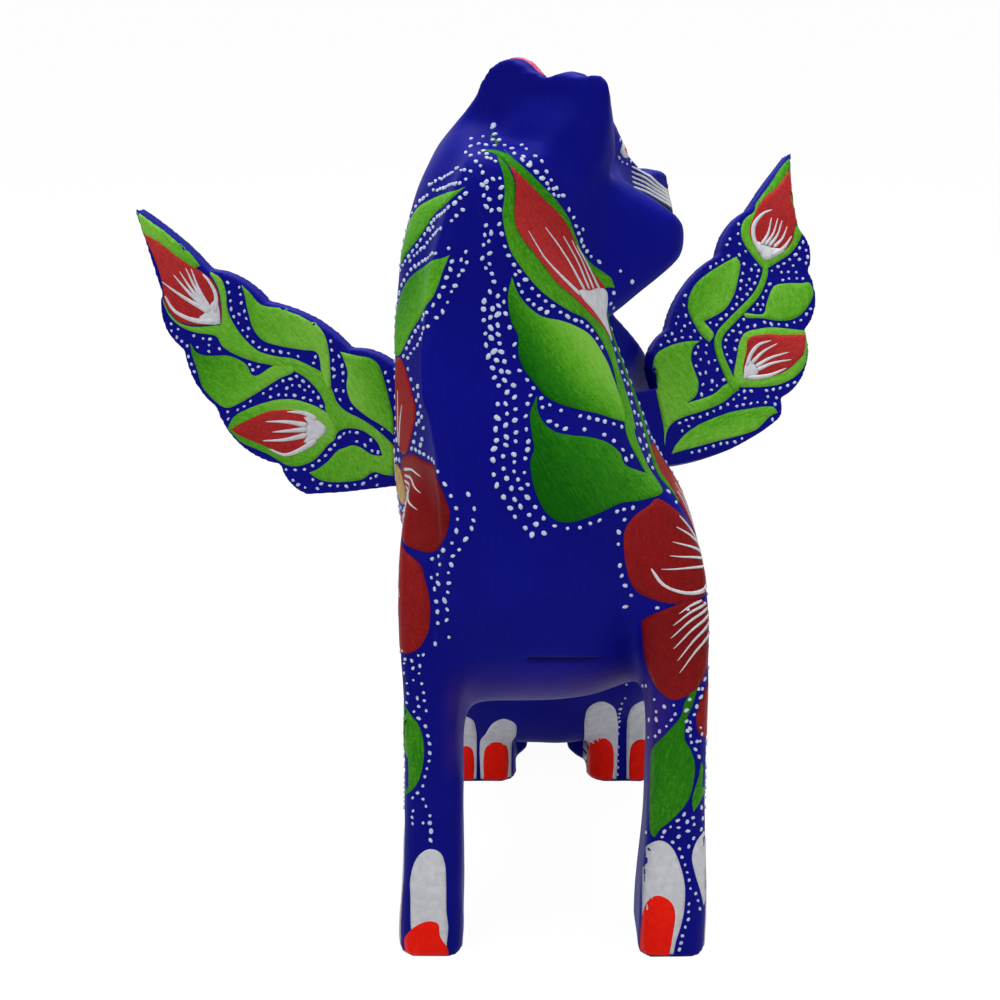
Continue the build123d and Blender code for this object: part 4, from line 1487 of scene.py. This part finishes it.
leaf(rump, (-12, 78), (-25, 60), 9, 0.44, 0.1)
leaf(rump, (12, 78), (25, 60), 9, 0.5, 0.6)
leaf(rump, (0, 124), (-4, 150), 9, 0.5, 0.3)
halo_dots(rump, list(rump.outlines), (1.5, 3.6), spacing=2.6, radius=0.55)
carriers += [left_side, right_side, rump]

for facing, normal in (("left", (1, 0, 0)), ("right", (-1, 0, 0))):
    plate = Plate(
        "tail_skin", "tail", "tail_" + facing, (0, 0, 0), (0, 1, 0), (0, 0, 1), normal, 0.3,
    )
    leaf(plate, (167, 60), (163, 84), 7, 0.5, 0.2)
    leaf(plate, (165, 88), (157, 106), 6, 0.44, 0.6)
    patch(
        plate, "red", [(170.4, 134), (167.6, 131), (165, 127), (164, 122), (161.4, 118), (160, 114),
        (163, 112), (166, 116), (168, 121), (169.6, 127)], light=(0.42, 0, 0),
    )
    line_dots(plate, [(160, 52), (166, 58), (171, 66), (170, 78), (166, 92)], radius=0.5)
    line_dots(plate, [(158, 58), (161, 68), (160, 80), (154, 96), (154, 108)], radius=0.5)
    carriers.append(plate)

# ---------------------------------------------------------------- build what was painted


def build_layers(carrier):
    for colour, layer in carrier.layers.items():
        name = f"{carrier.name}_{colour}"
        mesh = bpy.data.meshes.new(name)
        mesh.from_pydata(metres(layer["verts"]).tolist(), [], layer["faces"])
        for key in ("along", "across", "tone", "light"):
            attribute = mesh.attributes.new(key, "FLOAT", "POINT")
            attribute.data.foreach_set("value", layer[key])
        shells = bmesh.new()
        shells.from_mesh(mesh)
        loose = [v for v in shells.verts if not v.link_faces]
        bmesh.ops.delete(shells, geom=loose, context="VERTS")
        bmesh.ops.recalc_face_normals(shells, faces=shells.faces)
        shells.to_mesh(mesh)
        shells.free()
        mesh.shade_smooth()
        mesh.materials.append(PAINTS[colour])
        obj = bpy.data.objects.new(name, mesh)
        bpy.context.scene.collection.objects.link(obj)
        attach(obj, carrier.body)


for carrier in carriers:
    build_layers(carrier)

# ---------------------------------------------------------------- floor, lights, background

FLOOR_SIZE = 6.0
floor_mesh = bpy.data.meshes.new("floor")
half = FLOOR_SIZE / 2
floor_mesh.from_pydata(
    [(-half, -half, 0), (half, -half, 0), (half, half, 0), (-half, half, 0)], [], [(0, 1, 2, 3)],
)
floor = bpy.data.objects.new("floor", floor_mesh)
bpy.context.scene.collection.objects.link(floor)

ground = Nodes("ground")
ground.shader.inputs["Base Color"].default_value = (0.82, 0.82, 0.82, 1)
ground.shader.inputs["Roughness"].default_value = 0.9
rays = ground.add("ShaderNodeLightPath")
seen = ground.maths("MAXIMUM", rays.outputs["Is Camera Ray"], rays.outputs["Is Glossy Ray"])
seen = ground.maths("MAXIMUM", seen, rays.outputs["Is Transmission Ray"])
glow = ground.add("ShaderNodeEmission")
glow.inputs["Strength"].default_value = 1.09
blend = ground.add("ShaderNodeMixShader")
share = ground.maths("MULTIPLY", seen, 0.88)
ground.link(share, blend.inputs[0])
ground.link(ground.shader.outputs[0], blend.inputs[1])
ground.link(glow.outputs[0], blend.inputs[2])
ground.link(blend.outputs[0], ground.tree.nodes["Material Output"].inputs["Surface"])
floor_mesh.materials.append(ground.material)

world = bpy.data.worlds.new("studio")
bpy.context.scene.world = world
world.use_nodes = True
tree = world.node_tree
sky = tree.nodes["Background"]
sky.inputs["Color"].default_value = (1.0, 1.0, 1.0, 1.0)
path = tree.nodes.new("ShaderNodeLightPath")
either = path.outputs["Is Camera Ray"]
for ray in ("Is Glossy Ray", "Is Transmission Ray"):
    greater = tree.nodes.new("ShaderNodeMath")
    greater.operation = "MAXIMUM"
    tree.links.new(either, greater.inputs[0])
    tree.links.new(path.outputs[ray], greater.inputs[1])
    either = greater.outputs[0]
strength = tree.nodes.new("ShaderNodeMapRange")
strength.inputs["To Min"].default_value = 0.2
strength.inputs["To Max"].default_value = 1.0
tree.links.new(either, strength.inputs["Value"])
tree.links.new(strength.outputs["Result"], sky.inputs["Strength"])


def lamp(name, place, aim, power, size):
    data = bpy.data.lights.new(name, "AREA")
    data.energy = power
    data.size = size
    obj = bpy.data.objects.new(name, data)
    bpy.context.scene.collection.objects.link(obj)
    obj.location = metres(place)
    heading = Vector(metres(aim)) - obj.location
    obj.rotation_euler = heading.to_track_quat("-Z", "Y").to_euler()


lamp("key", (-380, -420, 520), (-10, 40, 120), 1.5, 0.45)
lamp("fill", (480, -320, 320), (-10, 40, 110), 0.65, 0.5)
lamp("top", (0, 160, 700), (-10, 50, 120), 4.4, 0.6)

bpy.context.scene.view_settings.view_transform = "Standard"

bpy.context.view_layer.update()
